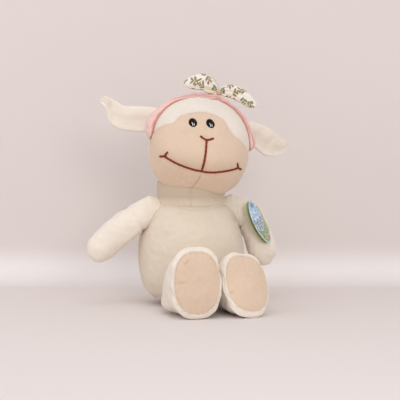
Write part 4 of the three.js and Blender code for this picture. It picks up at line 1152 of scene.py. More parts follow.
def band_grid():
    """The headband's grid with its seam and edge masks, which paint shade in its folds, under the bow's knot,
    at the crown and, with the edge's own colour, along its inner edge: a padded strip carried round the head by
    its angle from the crown, thickest near the ears, gathered in fine folds and pinched under the bow."""
    rows, columns = 320, 64
    share = np.linspace(0, 1, rows)[:, None]
    angle = BAND_ANGLES[0] + (BAND_ANGLES[1] - BAND_ANGLES[0]) * share
    turn = ring_angles(columns)
    pinch = crease(angle - BAND_PINCH, BAND_PINCH_WIDTH)
    closing = np.sqrt(np.clip(np.minimum(share, 1 - share) / 0.02, 0, 1))
    aside = smooth((np.abs(angle) - math.radians(35)) / math.radians(45))
    across = signed_power(np.cos(turn), 0.7)
    y = BAND_BEHIND + closing * across * (BAND_WIDTH / 2) * (1 - 0.25 * pinch)
    y = y - closing * 5 * MM * aside * np.clip(-across, 0, 1)
    crown = crease(angle + math.radians(12), math.radians(26))
    y = y - 2 * MM * crown * np.clip(-across, 0, 1) - 8.5 * MM * crease(angle, math.radians(38))
    thick = np.interp(np.degrees(angle), *BAND_SWELL.T) * MM
    lift = closing * signed_power(np.sin(turn), 0.62) * thick / 2
    dx, dz = np.sin(angle), np.cos(angle)
    skin = outermost(lambda out: head_form(stacked(dx * out, y, dz * out)), (rows, columns))
    flat = stacked(angle * 55 * MM, 0 * y, y)
    gathers = ripple(flat * (1, 1, 0.25), 9 * MM, 41)
    upper = np.clip(np.sin(turn) * 1.6 + 0.6, 0, 1)

    def fold_at(place, width, share):
        """A fold along the band at an angle of its section."""
        return share * crease(apart(turn - math.pi, place), width)

    right_side = smooth((angle - math.radians(13)) / math.radians(6))
    left_side = smooth((math.radians(-48) - angle) / math.radians(10))
    wander = 0.12 * np.sin(angle * 7)
    sunk = (2.2 * MM - thick / 2) / (thick / 2)
    inner = fold_at(-0.1 - np.arcsin(np.clip(signed_power(sunk, 1.6), -1, 1)), 0.15, 1)
    folds = fold_at(0.05 + wander, 0.16, left_side) + fold_at(-0.5 + wander, 0.16, right_side)
    folds = folds + fold_at(-1.0, 0.14, 0.5 * smooth((angle + 1) / 0.4))
    under_knot = pinch * fold_at(0.1, 0.8, 1)
    reach = skin - 0.2 * MM + thick / 2 + lift - 0.8 * MM * crown
    reach = reach + upper * (0.45 * MM * gathers - 1.0 * MM * np.clip(folds, 0, 1) - 1.6 * MM * under_knot)
    grid = stacked(dx * reach, y, dz * reach) + HEAD_CENTRE
    # Painted shade: both masks darken the band in its folds, under the bow's knot, at the crown and, partly,
    # along its inner edge.
    edge = np.clip(inner + 0.7 * folds + under_knot + 0.3 * crown, 0, 1)
    seam = np.clip(0.9 * inner + 0.3 * folds + 0.9 * under_knot + 0.2 * crown, 0, 1)
    return from_head(grid), seam, edge


def edge_rows(outline, rows):
    """An outline's distances from the root, its middle line and its half widths, as columns of a grid. It
    closes to a point at both ends."""
    curve = catmull(outline, rows)
    s, low, high = (curve[:, axis, None] for axis in range(3))
    half = np.clip((high - low) / 2, 0, None)
    half[0] = half[-1] = 0
    return s, (low + high) / 2, half


def bow_loop(side):
    """A gathered loop of the bow, its mask of seams and painted shade, and its UV map in metres: a puffed leaf
    between its lower and upper edge, with folds that fan out from the knot and a turned-in mouth."""
    rows, columns = 110, 110
    s, middle, half = edge_rows(BOW_OUTLINES[side], rows)
    turn = ring_angles(columns)
    hand = SIDES[side]
    t = (s - s[0]) / (s[-1] - s[0])
    full = (half / (9.5 * MM)) ** 0.8
    angle = np.arctan2(np.sin(turn), np.cos(turn))
    folds = 0.14 * np.sin(4 * angle + 1.2 + 1.5 * t) + 0.1 * np.sin(9 * angle + 2 * t)
    fan = 1 + folds * (1 - 0.75 * t)
    y = BOW_DEPTH / 2 * full * fan * signed_power(np.sin(turn), 0.9)
    z = middle + half * signed_power(np.cos(turn), 0.9)
    front = np.sin(turn) < 0
    share = np.cos(turn) + 0 * t
    mouth = crease(share - 0.72 + 0.9 * t, 0.07) * smooth(t * 12) * smooth((0.42 - t) / 0.2)
    valley = crease(share + 0.2 - 0.35 * t, 0.14) * smooth(t * 8) * (1 - t)
    y = y + np.where(front, 0.9 * MM * mouth + 1.5 * MM * valley, 0)
    grid = stacked(hand * s, y, z)
    uv = stacked(s, middle + half * angle * 0.9)
    hem = crease(np.abs(share) - 0.93, 0.03) * 0.35
    root = 0.8 * crease(t, 0.05) + 0 * share
    # The mask is the hem's seam, the gathered seam with painted shade at the knot, and painted shade in the
    # mouth and the valley.
    seam = np.clip(root + np.where(front, 0.85 * mouth + 0.3 * valley + hem, 0), 0, 1)
    return from_head(grid + BOW_PLACE), seam, uv


def ear_grid(side, face):
    """One cloth of an ear, its back (face 1) or its lining (face -1), with its mask of the seam round its edge
    and of painted shade down its concave middle and at the dent of the ear that leans forward. Its section is a
    half
    leaf: bulged on its own side and level on the side that it shares with the other cloth. Its upper edge rolls
    forward and folds run out from its root."""
    pose = EAR_POSES[side]
    hand = SIDES[side]
    rows, columns = 130, 76
    s, middle, half = edge_rows(EAR_OUTLINES[side], rows)
    turn = ring_angles(columns)
    bend = np.clip(s / (64 * MM), 0, None)
    thin = EAR_THICKNESS / 2 * (1 - 0.5 * np.clip(bend, 0, 1)) * np.clip(half / (6 * MM), 0, 1)
    share = np.cos(turn) + 0 * s
    z = middle + half * share
    own = np.clip(np.sin(turn), 0, None) ** 0.75 * thin
    shared = np.clip(-np.sin(turn), 0, None) * 0.05 * MM
    y = face * (own - shared)
    inside = smooth(bend * 4) * smooth(half / (5 * MM))
    fold = pose["fold"] * crease(share + 0.1 + 0.2 * bend, 0.42) * (1 - 0.5 * bend)
    fans = 0.22 * MM * np.sin(6 * share + 3 * bend) * (1 - bend)
    rolled = 1.6 * MM * smooth((share - 0.45) / 0.55) + 1.0 * MM * smooth((-share - 0.5) / 0.5)
    wave = 0.9 * MM * ripple(stacked(s, 0 * z, z), 30 * MM, 51 + hand)
    y = y + pose["curl"] * bend**2.5 + inside * (fold + fans - rolled + wave)
    tipped = smooth((s / MM - 48) / 10)
    y = y - pose["lean"] * tipped
    across, up = pose["crease"]
    near = np.hypot(s / MM - across, (z / MM - up) * 0.6)
    y = y + 1.6 * MM * crease(near, 3.2)
    grid = stacked(hand * s, y, z)
    frame_turn = np.array(
        Matrix.Rotation(hand * math.radians(EAR_SWEEP), 3, "Z")
        @ Matrix.Rotation(-hand * math.radians(pose["rise"]), 3, "Y")
    )
    place = HEAD_CENTRE + EAR_PLACE * (hand, 1, 1)
    # Painted shade: the concave middle of the ear and the dent near its tip are darkened.
    painted_hollow_shade = 0.42 * crease(share + 0.15 + 0.2 * bend, 0.5) * smooth(bend * 5) * smooth(1.15 - bend)
    painted_dent_shade = 0.6 * crease(near, 2.8) * pose["lean"] / (4.5 * MM)
    seam = crease(np.abs(share) - 1, 0.04) * 0.3 + painted_dent_shade + painted_hollow_shade
    return from_head(grid @ frame_turn.T + place), np.clip(seam, 0, 1)


def run_of(line):
    """The length of a line from its start, at each of its rows."""
    return np.cumsum(np.linalg.norm(np.gradient(line, axis=0), axis=1))[:, None]


def rings(line, across, up, wide, tall, turn, power):
    """Points of a tube round a middle line: at each row a rounded oval, wide across it and tall up it."""
    return (
        line[:, None]
        + across[:, None] * (wide[:, None] * signed_power(np.cos(turn), power))[..., None]
        + up[:, None] * (tall[:, None] * signed_power(np.sin(turn), power))[..., None]
    )


def arm_grid(side):
    """An arm's grid and seam mask: a curve from the shoulder to a blunt hand. Its top rises to the neck at
    the shoulder, a seam runs round its outline, and the cloth folds where the arm bends out of the torso."""
    pose = ARM_POSES[side]
    hand = SIDES[side]
    bend = np.array(pose["bend"]) * (hand, 1, 1) * MM
    palm = np.array(pose["hand"]) * (hand, 1, 1) * MM
    rows, columns = 160, 120
    t = np.linspace(-ARM_START, 1, rows)
    line = (2 * t * (1 - t))[:, None] * bend + (t**2)[:, None] * palm
    line[:, 2] -= 6 * MM * np.clip(-t / ARM_START, 0, 1) ** 2
    grow = np.sin(np.clip((t - 0.05) / 0.5, 0, 1) * math.pi / 2)
    size = ARM_WRIST - 1.2 * MM * np.sin(math.pi * np.clip(t / 0.3, 0, 1)) + (ARM_PALM - ARM_WRIST) * grow
    tip = np.clip((t - ARM_TIP) / (1 - ARM_TIP), 0, 1)
    start = np.clip((t + ARM_START) / 0.05, 0, 1)
    closing = np.sqrt(np.clip(1 - tip**2.9, 0, 1)) * np.sqrt(np.clip(1 - (1 - start) ** 2, 0, 1))
    size = size * closing
    root = smooth((0.16 - t) / 0.3)
    along = unit(np.gradient(line, axis=0))
    across = unit(np.cross(np.array((0, -1, 0)), along))
    turn = ring_angles(columns)
    grid = rings(line, across, np.cross(along, across), size, size * (ARM_FLAT - 0.22 * root), turn, 0.92)
    upper = np.clip(hand * np.cos(turn), 0, 1) ** 1.3
    lifted = pose["raise"] * (1 - np.clip(t / pose["reach"], 0, 1)) ** 1.4 * closing
    lifted = lifted * (1 - 0.35 * np.clip(-t / ARM_START, 0, 1))
    outward = unit(np.stack((-along[:, 2] * hand, 0 * along[:, 0], along[:, 0] * hand), -1))
    sewn = smooth((0.2 - t) / 0.3)[:, None]
    outward = unit(outward * (1 - sewn) + np.array((0, 0, 1)) * sewn)
    grid = grid + outward[:, None] * (lifted[:, None] * upper)[..., None]
    normals = grid_normals(grid, line[:, None] + 0 * grid)
    length = run_of(line)
    radius = np.maximum(size, 4 * MM)[:, None]
    out, seam = seams_along(grid, turn, (0, math.pi), radius, length, aside=0.5)
    folds = np.sin(length * (TAU / (11 * MM)) + 2 * np.cos(turn)) * crease(t[:, None] - 0.26, 0.12)
    out += 0.4 * MM * folds * (0.5 - 0.5 * np.cos(turn) * hand)
    out += 0.8 * MM * ripple(grid, 38 * MM, 61 + hand) + 0.35 * MM * ripple(grid, 14 * MM, 65 + hand)
    body = smooth(np.minimum((t - 0.12) / 0.16, (1.0 - t) / 0.05))[:, None]
    seam = np.clip(seam * body, 0, 1)
    grid = grid + normals * ((out - SLACK) * body)[..., None]
    return blown_up(grid + SHOULDER * (hand, 1, 1), np.maximum(seam, t[:, None] < 0.05)), seam


def fill_grid(grid, forward):
    """The fill inside a cover: every third row and fourth column of its grid, drawn in by FILL_DEPTH, or by
    less where the cover is narrow, apart from its last rows. Near the root it narrows to a core round the
    limb's middle line, because the cover folds there when the limb moves. Forward is the way that its last
    row faces."""
    rows = np.unique(np.concatenate((np.arange(0, len(grid), 3), (len(grid) - 1,))))
    coarse = grid[rows][:, ::4]
    middle = coarse.mean(1, keepdims=True) + 0 * coarse
    radius = np.linalg.norm(coarse - middle, axis=-1, keepdims=True)
    normals = grid_normals(coarse, middle - 2 * MM * np.asarray(forward))
    inward = np.minimum(FILL_DEPTH, radius * 0.5 + 0.2 * MM)
    inward[-FILL_END_ROWS:] = FILL_DEPTH
    near_root = smooth(1.6 - np.arange(len(rows)) / (0.35 * len(rows)))[:, None, None]
    return middle + (coarse - normals * inward - middle) * (1 - FILL_NARROWING * near_root)


def foot_frame(pose):
    """The directions of a foot: forward out of its sole, across it and up it."""
    turned = np.array(
        Matrix.Rotation(math.radians(pose["turn"]), 3, "Z")
        @ Matrix.Rotation(-math.radians(pose["tilt"]), 3, "X")
        @ Matrix.Rotation(math.radians(pose["roll"]), 3, "Y")
    )
    return turned @ (0, -1, 0), turned @ (1, 0, 0), turned @ (0, 0, 1)


def foot_middle(pose):
    """The middle of a foot's front rim, from the hip."""
    high = FOOT[1] / 2 * math.cos(math.radians(pose["tilt"])) - HIP[2]
    return np.array((pose["aside"] * MM, -pose["reach"] * MM, high))


def leg_grid(side):
    """A leg's grid and seam mask: from the hip along the floor, rising into a foot whose rim turns in to the
    sole. A seam runs along its top and under it, and it lies flat on the floor."""
    pose = FOOT_POSES[side]
    hand = SIDES[side]
    forward, across_foot, up_foot = foot_frame(pose)
    middle = foot_middle(pose)
    rows, columns = 170, 160
    turn = ring_angles(columns)
    body_rows = 110
    t = np.linspace(-LEG_START, 1, body_rows)
    grow = np.clip((1 - np.cos(math.pi * np.clip(t * 1.04, 0, 1))) / 2, 0, 1) ** 1.1
    line = np.stack((middle[0] * t, middle[1] * t, middle[2] * grow), -1)
    flat_across = np.array((1, 0, 0))
    flat_up = np.array((0, 0, 1))
    across = unit(flat_across + (across_foot - flat_across) * grow[:, None])
    up = unit(flat_up + (up_foot - flat_up) * grow[:, None])
    wide = HIP_BALL + (FOOT[0] / 2 - HIP_BALL) * np.sin(np.clip(t * 1.1, 0, 1) * math.pi / 2)
    tall = HIP_BALL - 0.5 * MM + (FOOT[1] / 2 - HIP_BALL + 0.5 * MM) * grow
    start = np.sqrt(np.clip(1 - (1 - np.clip((t + LEG_START) / 0.17, 0, 1)) ** 2, 0, 1))
    wide, tall = wide * start, tall * start
    rim = np.linspace(0, 1, rows - body_rows + 1)[1:]
    bulge = np.sin(np.clip(rim / 0.35, 0, 1) * math.pi / 2)
    inner = np.clip((rim - 0.35) / 0.65, 0, 1)
    ahead = RIM_BULGE * bulge - 1.2 * MM * np.sin(np.clip(inner / 0.12, 0, 1) * math.pi / 2)
    edge_drop = 1 - np.cos(np.clip(rim / 0.35, 0, 1) * math.pi / 2)
    rim_wide = (FOOT[0] / 2 - (FOOT[0] - SOLE[0]) / 2 * edge_drop) * (1 - inner)
    rim_tall = (FOOT[1] / 2 - (FOOT[1] - SOLE[1]) / 2 * edge_drop) * (1 - inner)
    line = np.concatenate((line, middle + forward * ahead[:, None]))
    across = np.concatenate((across, np.tile(across_foot, (len(rim), 1))))
    up = np.concatenate((up, np.tile(up_foot, (len(rim), 1))))
    wide = np.concatenate((wide, rim_wide))
    tall = np.concatenate((tall, rim_tall))
    wide[0] = tall[0] = wide[-1] = tall[-1] = 0
    square = 1 - (1 - FOOT_POWER) * np.concatenate((grow, 1 + 0 * rim))[:, None]
    grid = rings(line, across, up, wide, tall, turn, square)
    normals = grid_normals(grid, line[:, None] - 2 * MM * forward + 0 * grid)
    radius = np.maximum(wide, 4 * MM)[:, None]
    out, seam = seams_along(grid, turn, (math.pi / 2, -math.pi / 2), radius, run_of(line))
    body = np.concatenate((smooth((t + 0.12) / 0.1) * smooth((1.02 - t) / 0.12), 0 * rim))[:, None]
    out = (out - SLACK + 0.8 * MM * ripple(grid, 45 * MM, 71 + hand)) * body
    grid = grid + normals * out[..., None] + HIP * (hand, 1, 1)
    outer = smooth(0.5 + 40 * hand * (grid[..., 0] - HIP[0] * hand - middle[0] / 2))
    flare = 3 + (pose["flare"] - 3) * outer * np.concatenate((smooth((0.95 - t) / 0.5), 0 * rim))[:, None]
    spread = crease(grid[..., 2] - 2 * MM, 10 * MM) * flare * MM * body
    grid[..., 0] += spread * unit(grid[..., :2] - (HIP * (hand, 1, 1) + middle / 2)[:2])[..., 0]
    rim_seam = 0.6 * np.concatenate((0 * t, crease(rim - 0.36, 0.05)))[:, None]
    seam = np.clip(seam * body + rim_seam, 0, 1)
    fixed = np.concatenate((t < 0.05, rim >= 0.3))[:, None]
    grid = blown_up(grid, np.max((seam, fixed + 0 * seam, grid[..., 2] < 2 * MM), axis=0))
    grid[..., 2] = np.maximum(grid[..., 2], 0.0)
    return grid, seam


def sole_grid(side):
    """A sole's grid and its mask of the seam round its edge and of painted shade in its dents: a padded rounded
    oval whose face is crowned and lumpy, whose edge dips into its seam in small puckers, and which has a few
    dents."""
    pose = FOOT_POSES[side]
    hand = SIDES[side]
    forward, across, up = foot_frame(pose)
    middle = foot_middle(pose) + HIP * (hand, 1, 1)
    rows, columns = 110, 170
    v = np.linspace(0, 1, rows)[:, None]
    turn = ring_angles(columns)
    radius = np.sin(v * math.pi)
    radius[0] = radius[-1] = 0
    front = v < 0.5
    crown = SOLE_RISE * np.clip(1 - radius**2.4, 0, 1) ** 0.85
    rise = np.where(front, SOLE_RISE + crown, SOLE_BACK)
    rim = stacked(np.cos(turn), np.sin(turn), 0 * turn)
    wobble = 1 + 0.022 * ripple(rim, 1.1, 85 + hand, 3)
    x = radius * wobble * SOLE[0] / 2 * signed_power(np.cos(turn), FOOT_POWER)
    z = radius * wobble * SOLE[1] / 2 * signed_power(np.sin(turn), FOOT_POWER)
    flat = stacked(x, 0 * x, z)
    pucker = 0.35 * MM * np.sin(turn * 31 + 3 * ripple(flat, 20 * MM, 81)) * crease(radius - 1, 0.1)
    lumps = 0.9 * MM * ripple(flat, 30 * MM, 83 + hand, 3) * (1 - radius**2)
    dents = 0 * x
    for aside, above, slope in pose["dents"]:
        px = x / (SOLE[0] / 2) - aside
        pz = z / (SOLE[1] / 2) - above
        along = px * math.cos(slope) + pz * math.sin(slope)
        over = pz * math.cos(slope) - px * math.sin(slope)
        dents = dents + crease(along, 0.16) * crease(over, 0.035)
    rise = rise + np.where(front, pucker + lumps - 1.0 * MM * dents, 0)
    grid = middle + rise[..., None] * forward + x[..., None] * across + z[..., None] * up
    # The mask is the seam round the edge, and painted shade in the dents.
    seam = 0.6 * crease(radius - 1, 0.025) + 0.55 * dents
    return grid, np.clip(seam, 0, 1)


def tag_axes():
    """The tag's own directions in the toy's frame: across it, up it and out of its printed face."""
    out = Vector(TAG_FACE).normalized()
    upright = (Vector((0, 0, 1)) - out * out.z).normalized()
    up = Matrix.Rotation(TAG_LEAN, 3, out) @ upright
    return np.array(up.cross(out)), np.array(up), np.array(out)


def tag_leaf(name, fold, rise, material):
    """One oval leaf of the card: a grid of rings from the hole's edge to the outline, bent a little along its
    length, turned about the spine by the fold, and cut straight at the spine."""
    rings, columns = 26, 96
    turn = np.linspace(0, TAU, columns + 1)[None]
    share = np.linspace(0, 1, rings)[:, None]
    middle = TAG_MARGIN + TAG_HOLE - TAG_SIZE[1] / 2
    rim_x = TAG_SIZE[0] / 2 * np.cos(turn)
    rim_y = middle + TAG_SIZE[1] / 2 * np.sin(turn)
    spine = TAG_SIZE[0] / 2 - TAG_SPINE
    rim_x = np.minimum(rim_x, spine)
    start_x = TAG_HOLE * np.cos(turn)
    start_y = TAG_HOLE * np.sin(turn)
    x = start_x + (rim_x - start_x) * share
    y = start_y + (rim_y - start_y) * share
    uv = stacked((x + TAG_SIZE[0] / 2) / TAG_SIZE[0], (y - middle) / TAG_SIZE[1] + 0.5)
    bow = 0.9 * MM * (x / (TAG_SIZE[0] / 2)) ** 2
    folded_x = spine + (x - spine) * math.cos(fold)
    folded_z = (x - spine) * math.sin(fold) + rise - bow * (1 if fold == 0 else -1)
    across, up, out = tag_axes()
    hole = np.array(JOINTS["tag_swing"]["pos_m"])
    grid = hole + folded_x[..., None] * across + y[..., None] * up + folded_z[..., None] * out
    edge = smooth((share - 0.955) / 0.02) + 0 * turn
    return sheet_surface(name, grid, material, CARD, {"edge": edge}, uv)


def join_all(name, pieces):
    """Pieces made one object, their modifiers applied."""
    depsgraph = bpy.context.evaluated_depsgraph_get()
    bpy.context.view_layer.update()
    for piece in pieces:
        mesh = bpy.data.meshes.new_from_object(piece.evaluated_get(depsgraph))
        piece.modifiers.clear()
        piece.data = mesh
    with bpy.context.temp_override(
        active_object=pieces[0], object=pieces[0], selected_editable_objects=pieces, selected_objects=pieces
    ):
        bpy.ops.object.join()
    pieces[0].name = name
    return pieces[0]


class LambSizes(bpy.types.PropertyGroup):
    """Sizes that a user would change."""

    pile: FloatProperty(
        name="Pile", description="Thickness of the plush with its pile", default=PLUSH, unit="LENGTH"
    )
    label_width: FloatProperty(
        name="Label Width", description="Width of the sewn-in label", default=14 * MM, unit="LENGTH"
    )
    floor: FloatProperty(name="Floor", description="Half width of the floor", default=2.0, unit="LENGTH")


def colour_property(name, description, red, green, blue):
    """A colour setting whose default is an 8-bit sRGB colour."""
    return FloatVectorProperty(
        name=name, description=description, subtype="COLOR", min=0, max=1, default=linear(red, green, blue)
    )


class LambColours(bpy.types.PropertyGroup):
    """Colours of the cloths, threads and card."""

    cream: colour_property("Cream", "Plush of the body", 226, 213, 195)
    pale: colour_property("Pale", "Plush of the limbs and ears", 238, 228, 215)
    white: colour_property("White", "Plush of the forehead", 231, 222, 211)
    peach: colour_property("Peach", "Plush of the face and the soles", 223, 198, 175)
    pink: colour_property("Pink", "Plush of the headband", 240, 202, 195)
    # Rose is partly the headband's inner edge colour and partly shade painted in its folds, under and on the
    # knot.
    rose_edge_and_shade: colour_property("Rose", "Edge of the headband", 194, 114, 104)
    brown: colour_property("Brown", "Thread of the nose and mouth", 146, 58, 28)
    black: colour_property("Black", "Thread of the eyes", 12, 10, 10)
    grey: colour_property("Grey", "Softer lights of the eyes", 74, 62, 60)
    bright: colour_property("Bright", "Lights of the eyes", 232, 234, 234)
    cotton: colour_property("Cotton", "Cloth of the bow", 240, 236, 226)
    lining: colour_property("Lining", "Back of the bow's cloth", 236, 224, 188)
    olive: colour_property("Olive", "Green leaves of the print", 130, 126, 68)
    tan: colour_property("Tan", "Brown leaves of the print", 150, 118, 66)
    sky: colour_property("Sky", "Upper part of the tag", 158, 204, 232)
    lilac: colour_property("Lilac", "Lower part of the tag", 178, 180, 224)
    meadow: colour_property("Meadow", "Near hill of the tag", 140, 178, 128)
    teal: colour_property("Teal", "Far hill of the tag", 140, 188, 196)
    foliage: colour_property("Foliage", "Leaves of the tag", 74, 130, 112)
    leaf: colour_property("Leaf", "Inside of the tag", 190, 202, 140)
    blossom: colour_property("Blossom", "Flowers of the tag", 222, 130, 140)
    cloud: colour_property("Cloud", "Clouds and rim of the tag", 240, 240, 244)
    backdrop: colour_property("Backdrop", "Floor and wall", 227, 218, 215)


class PieceOperator:
    """What the operators of this add-on share."""

    bl_options = {"REGISTER", "UNDO"}

    def colours(self, context):
        """The colour settings."""
        return context.scene.lamb_colours

    def cream(self, context):
        """The body's plush."""
        return plush_material("cream plush", self.colours(context).cream)

    def pale(self, context):
        """The plush of the limbs and ears, paler than the body's."""
        return plush_material("pale plush", self.colours(context).pale)

    def peach(self, context):
        """The plush of the face and the soles."""
        return plush_material("peach plush", self.colours(context).peach)

    def limb(self, context, body, grid, seam, forward, padding, start, end):
        """A limb's cover and the fill inside it, in place of its CAD cover and stuffing."""
        cover = closed_surface(f"{body}_plush", grid, self.pale(context), {"seam": seam})
        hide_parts(f"{body}_cover")
        inner = closed_surface(f"{body}_fill", fill_grid(grid, forward), fibre_material())
        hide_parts(f"{body}_stuffing")
        for piece in (cover, inner):
            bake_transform(piece)


def contact(points, skins, width):
    """How close each point of a grid is to other skins: 1 where they touch, falling off as a bell."""
    tree = KDTree(sum(skin.shape[0] * skin.shape[1] for skin in skins))
    number = 0
    for skin in skins:
        for place in skin.reshape(-1, 3):
            tree.insert(place, number)
            number += 1
    tree.balance()
    gaps = np.array([tree.find(place)[2] for place in points.reshape(-1, 3)])
    return crease(gaps.reshape(points.shape[:-1]), width)


class LAMB_OT_torso(PieceOperator, bpy.types.Operator):
    """Add the torso's plush cover"""

    bl_idname = "lamb.torso"
    bl_label = "Torso"

    def execute(self, context):
        points, seam = torso_skin()
        arms = [arm_grid(side)[0] for side in SIDES]
        # Painted shade: the torso darkens where the arms touch it, below the shoulders.
        sewn = contact(points, arms, 1.7 * MM) * smooth((103 * MM - points[..., 2]) / (6 * MM))
        seam = np.maximum(seam, sewn)
        torso = closed_surface("torso_plush", points, self.cream(context), {"seam": seam})
        give(torso, "torso", "cream_plush", "torso_cover")
        return {"FINISHED"}


class LAMB_OT_neck(PieceOperator, bpy.types.Operator):
    """Add the neck's plush cover"""

    bl_idname = "lamb.neck"
    bl_label = "Neck"

    def execute(self, context):
        points, seam = neck_skin()
        neck = closed_surface("neck_plush", points, self.cream(context), {"seam": seam})
        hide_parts("neck_cover")
        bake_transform(neck)
        return {"FINISHED"}


class LAMB_OT_head(PieceOperator, bpy.types.Operator):
    """Add the head's cover, its peach face and its white forehead, cut from one skin along their seams and
    round the neck"""

    bl_idname = "lamb.head"
    bl_label = "Head"

    def execute(self, context):
        colours = self.colours(context)
        ways = directions(*HEAD_GRID)
        grid, face, seam = head_skin(ways)
        points = poled(from_head(grid))
        quads, fans = turned_outwards(points - points.mean(0), *poled_faces(*grid.shape[:2]))
        triangles = np.concatenate((quads[:, :3], quads[:, (0, 2, 3)], fans))
        ahead = PANEL_BACK - poled(grid[..., 1:2] - HEAD_CENTRE[1])[:, 0]
        off_neck = poled(np.linalg.norm(grid, axis=-1))[:, 0] - NECK_BALL - 0.5 * MM
        face = poled(face)[:, 0]
        white = plush_material("white plush", colours.white)
        fields = {
            "head_plush": (-ahead, self.cream(context), "cream_plush", "head_cover"),
            "face_plush": (np.minimum(ahead, face), self.peach(context), "peach_plush", "face_panel"),
            "forehead_plush": (np.minimum(ahead, -face), white, "white_plush", "forehead_panel"),
        }
        for name, (field, material, slot, node) in fields.items():
            field = np.minimum(field, off_neck)
            kept, faces, values = clip(points, triangles, field, poled(seam))
            piece = build_mesh(name, kept, faces, material, {"seam": values[:, 0]})
            solidify(piece, context.scene.lamb_sizes.pile, -1)
            give(piece, "head", slot, node)
        return {"FINISHED"}


class LAMB_OT_features(PieceOperator, bpy.types.Operator):
    """Add the stitched nose, mouth and eyes"""

    bl_idname = "lamb.features"
    bl_label = "Nose, Mouth and Eyes"

    def execute(self, context):
        colours = self.colours(context)
        brown = thread_material("brown thread", colours.brown)
        black = thread_material("black thread", colours.black, (colours.grey, colours.bright))
        arms = catmull(((-NOSE_HALF, NOSE_TOP), (0, NOSE_ROOT), (NOSE_HALF, NOSE_TOP)), 40)
        stem = np.array(((0, NOSE_ROOT), (0, NOSE_FOOT - 1 * MM)))
        nose = stitched_line("nose_thread", [arms, stem], brown)
        give(nose, "head", "brown_thread", "nose_stitching")
        aside = np.linspace(-MOUTH_HALF, MOUTH_HALF, 90)
        lines = [np.stack((aside, smile_height(aside)), -1)]
        for hand in (-1, 1):
            corner = (hand * MOUTH_HALF, MOUTH_CORNER)
            lines.append(np.array(((hand * TICK_OUT, MOUTH_CORNER - 0.5 * MM), corner)))
            lines.append(np.array((corner, (hand * TICK_IN, TICK_TOP))))
        mouth = stitched_line("mouth_thread", lines, brown)
        give(mouth, "head", "brown_thread", "mouth_stitching")
        for side, place in EYE_PLACES.items():
            eye = embroidered_eye(f"eye_{side}_thread", place, black)
            give(eye, "head", "black_thread", f"eye_{side}")
        return {"FINISHED"}


class LAMB_OT_headband(PieceOperator, bpy.types.Operator):
    """Add the gathered headband"""

    bl_idname = "lamb.headband"
    bl_label = "Headband"

    def execute(self, context):
        colours = self.colours(context)
        grid, seam, edge = band_grid()
        pink = plush_material("pink plush", colours.pink, edge=colours.rose_edge_and_shade)
        band = closed_surface("headband_plush", grid, pink, {"seam": seam, "edge": edge})
        give(band, "head", "pink_plush", "headband")
        return {"FINISHED"}


class LAMB_OT_bow(PieceOperator, bpy.types.Operator):
    """Add the bow's two loops, its knot and its short end"""

    bl_idname = "lamb.bow"
    bl_label = "Bow"

    def execute(self, context):
        colours = self.colours(context)
        cotton = print_material("printed cotton", colours, colours.cotton)
        for side in SIDES:
            grid, seam, uv = bow_loop(side)
            loop = closed_surface(f"bow_loop_{side}_cotton", grid, cotton, {"seam": seam}, uv)
            give(loop, "head", "leaf_print", f"bow_loop_{side}")
        ways = directions(*KNOT_GRID)
        turn = np.arctan2(ways[..., 1], ways[..., 0])
        wrap = 1 + 0.05 * np.cos(turn * 9) + 0.06 * np.sin(ways[..., 2:3].squeeze() * 9)
        knot_grid = ways * (BOW_KNOT / 2) * wrap[..., None] + (1.2 * MM, 0, -1.4 * MM)
        pink = plush_material("pink plush", colours.pink, edge=colours.rose_edge_and_shade)
        zero = np.zeros(knot_grid.shape[:2])
        # Painted shade: the whole knot is darkened and tinted towards the edge colour, as it lies between the
        # loops.
        masks = {"seam": zero + 0.15, "edge": zero + 0.25}
        knot = closed_surface("bow_knot_plush", from_head(knot_grid + BOW_PLACE), pink, masks)
        give(knot, "head", "pink_plush", "bow_knot")
        self.short_end(print_material("back of the cotton", colours, colours.lining, 0.0))
        return {"FINISHED"}

    def short_end(self, cotton):
        """The short end of the bow's cloth: a small turned-under loop below the one on the toy's right."""
        length, half, deep = 15 * MM, 2.1 * MM, 2.4 * MM
        t = np.linspace(0, 1, 60)[:, None]
        turn = ring_angles(40)
        swell = np.sin(math.pi * t) ** 0.55
        x = -2.0 * MM - length * t + 0 * turn
        z = -1.6 * MM - 1.2 * MM * np.sin(math.pi * t) + half * swell * np.cos(turn)
        y = -3.4 * MM - 1.2 * MM * np.sin(math.pi * t) + deep * swell * np.sin(turn)
        x[0] = x[0].mean()
        uv = stacked(length * t, half * turn)
        rim = np.abs(np.cos(turn))
        # Painted shade along the strip's upper and lower rims and at its end, with a little over all of it.
        lower = np.clip(0.1 + 0.9 * smooth((rim - 0.72) / 0.2) + 0.8 * crease(t - 1, 0.08), 0, 1)
        grid = from_head(stacked(x, y, z) + BOW_PLACE)
        strip = closed_surface("bow_tail_cotton", grid, cotton, {"seam": lower}, uv)
        give(strip, "head", "leaf_print", "bow_tail")


class LAMB_OT_ears(PieceOperator, bpy.types.Operator):
    """Add both ears, each of a back and a lining"""

    bl_idname = "lamb.ears"
    bl_label = "Ears"

    def execute(self, context):
        for side, hand in SIDES.items():
            for label, face in (("outer", 1), ("lining", -1)):
                grid, seam = ear_grid(side, face)
                ear = closed_surface(f"ear_{side}_{label}_plush", grid, self.pale(context), {"seam": seam})
                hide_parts(f"ear_{side}_{label}")
                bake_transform(ear)
        return {"FINISHED"}


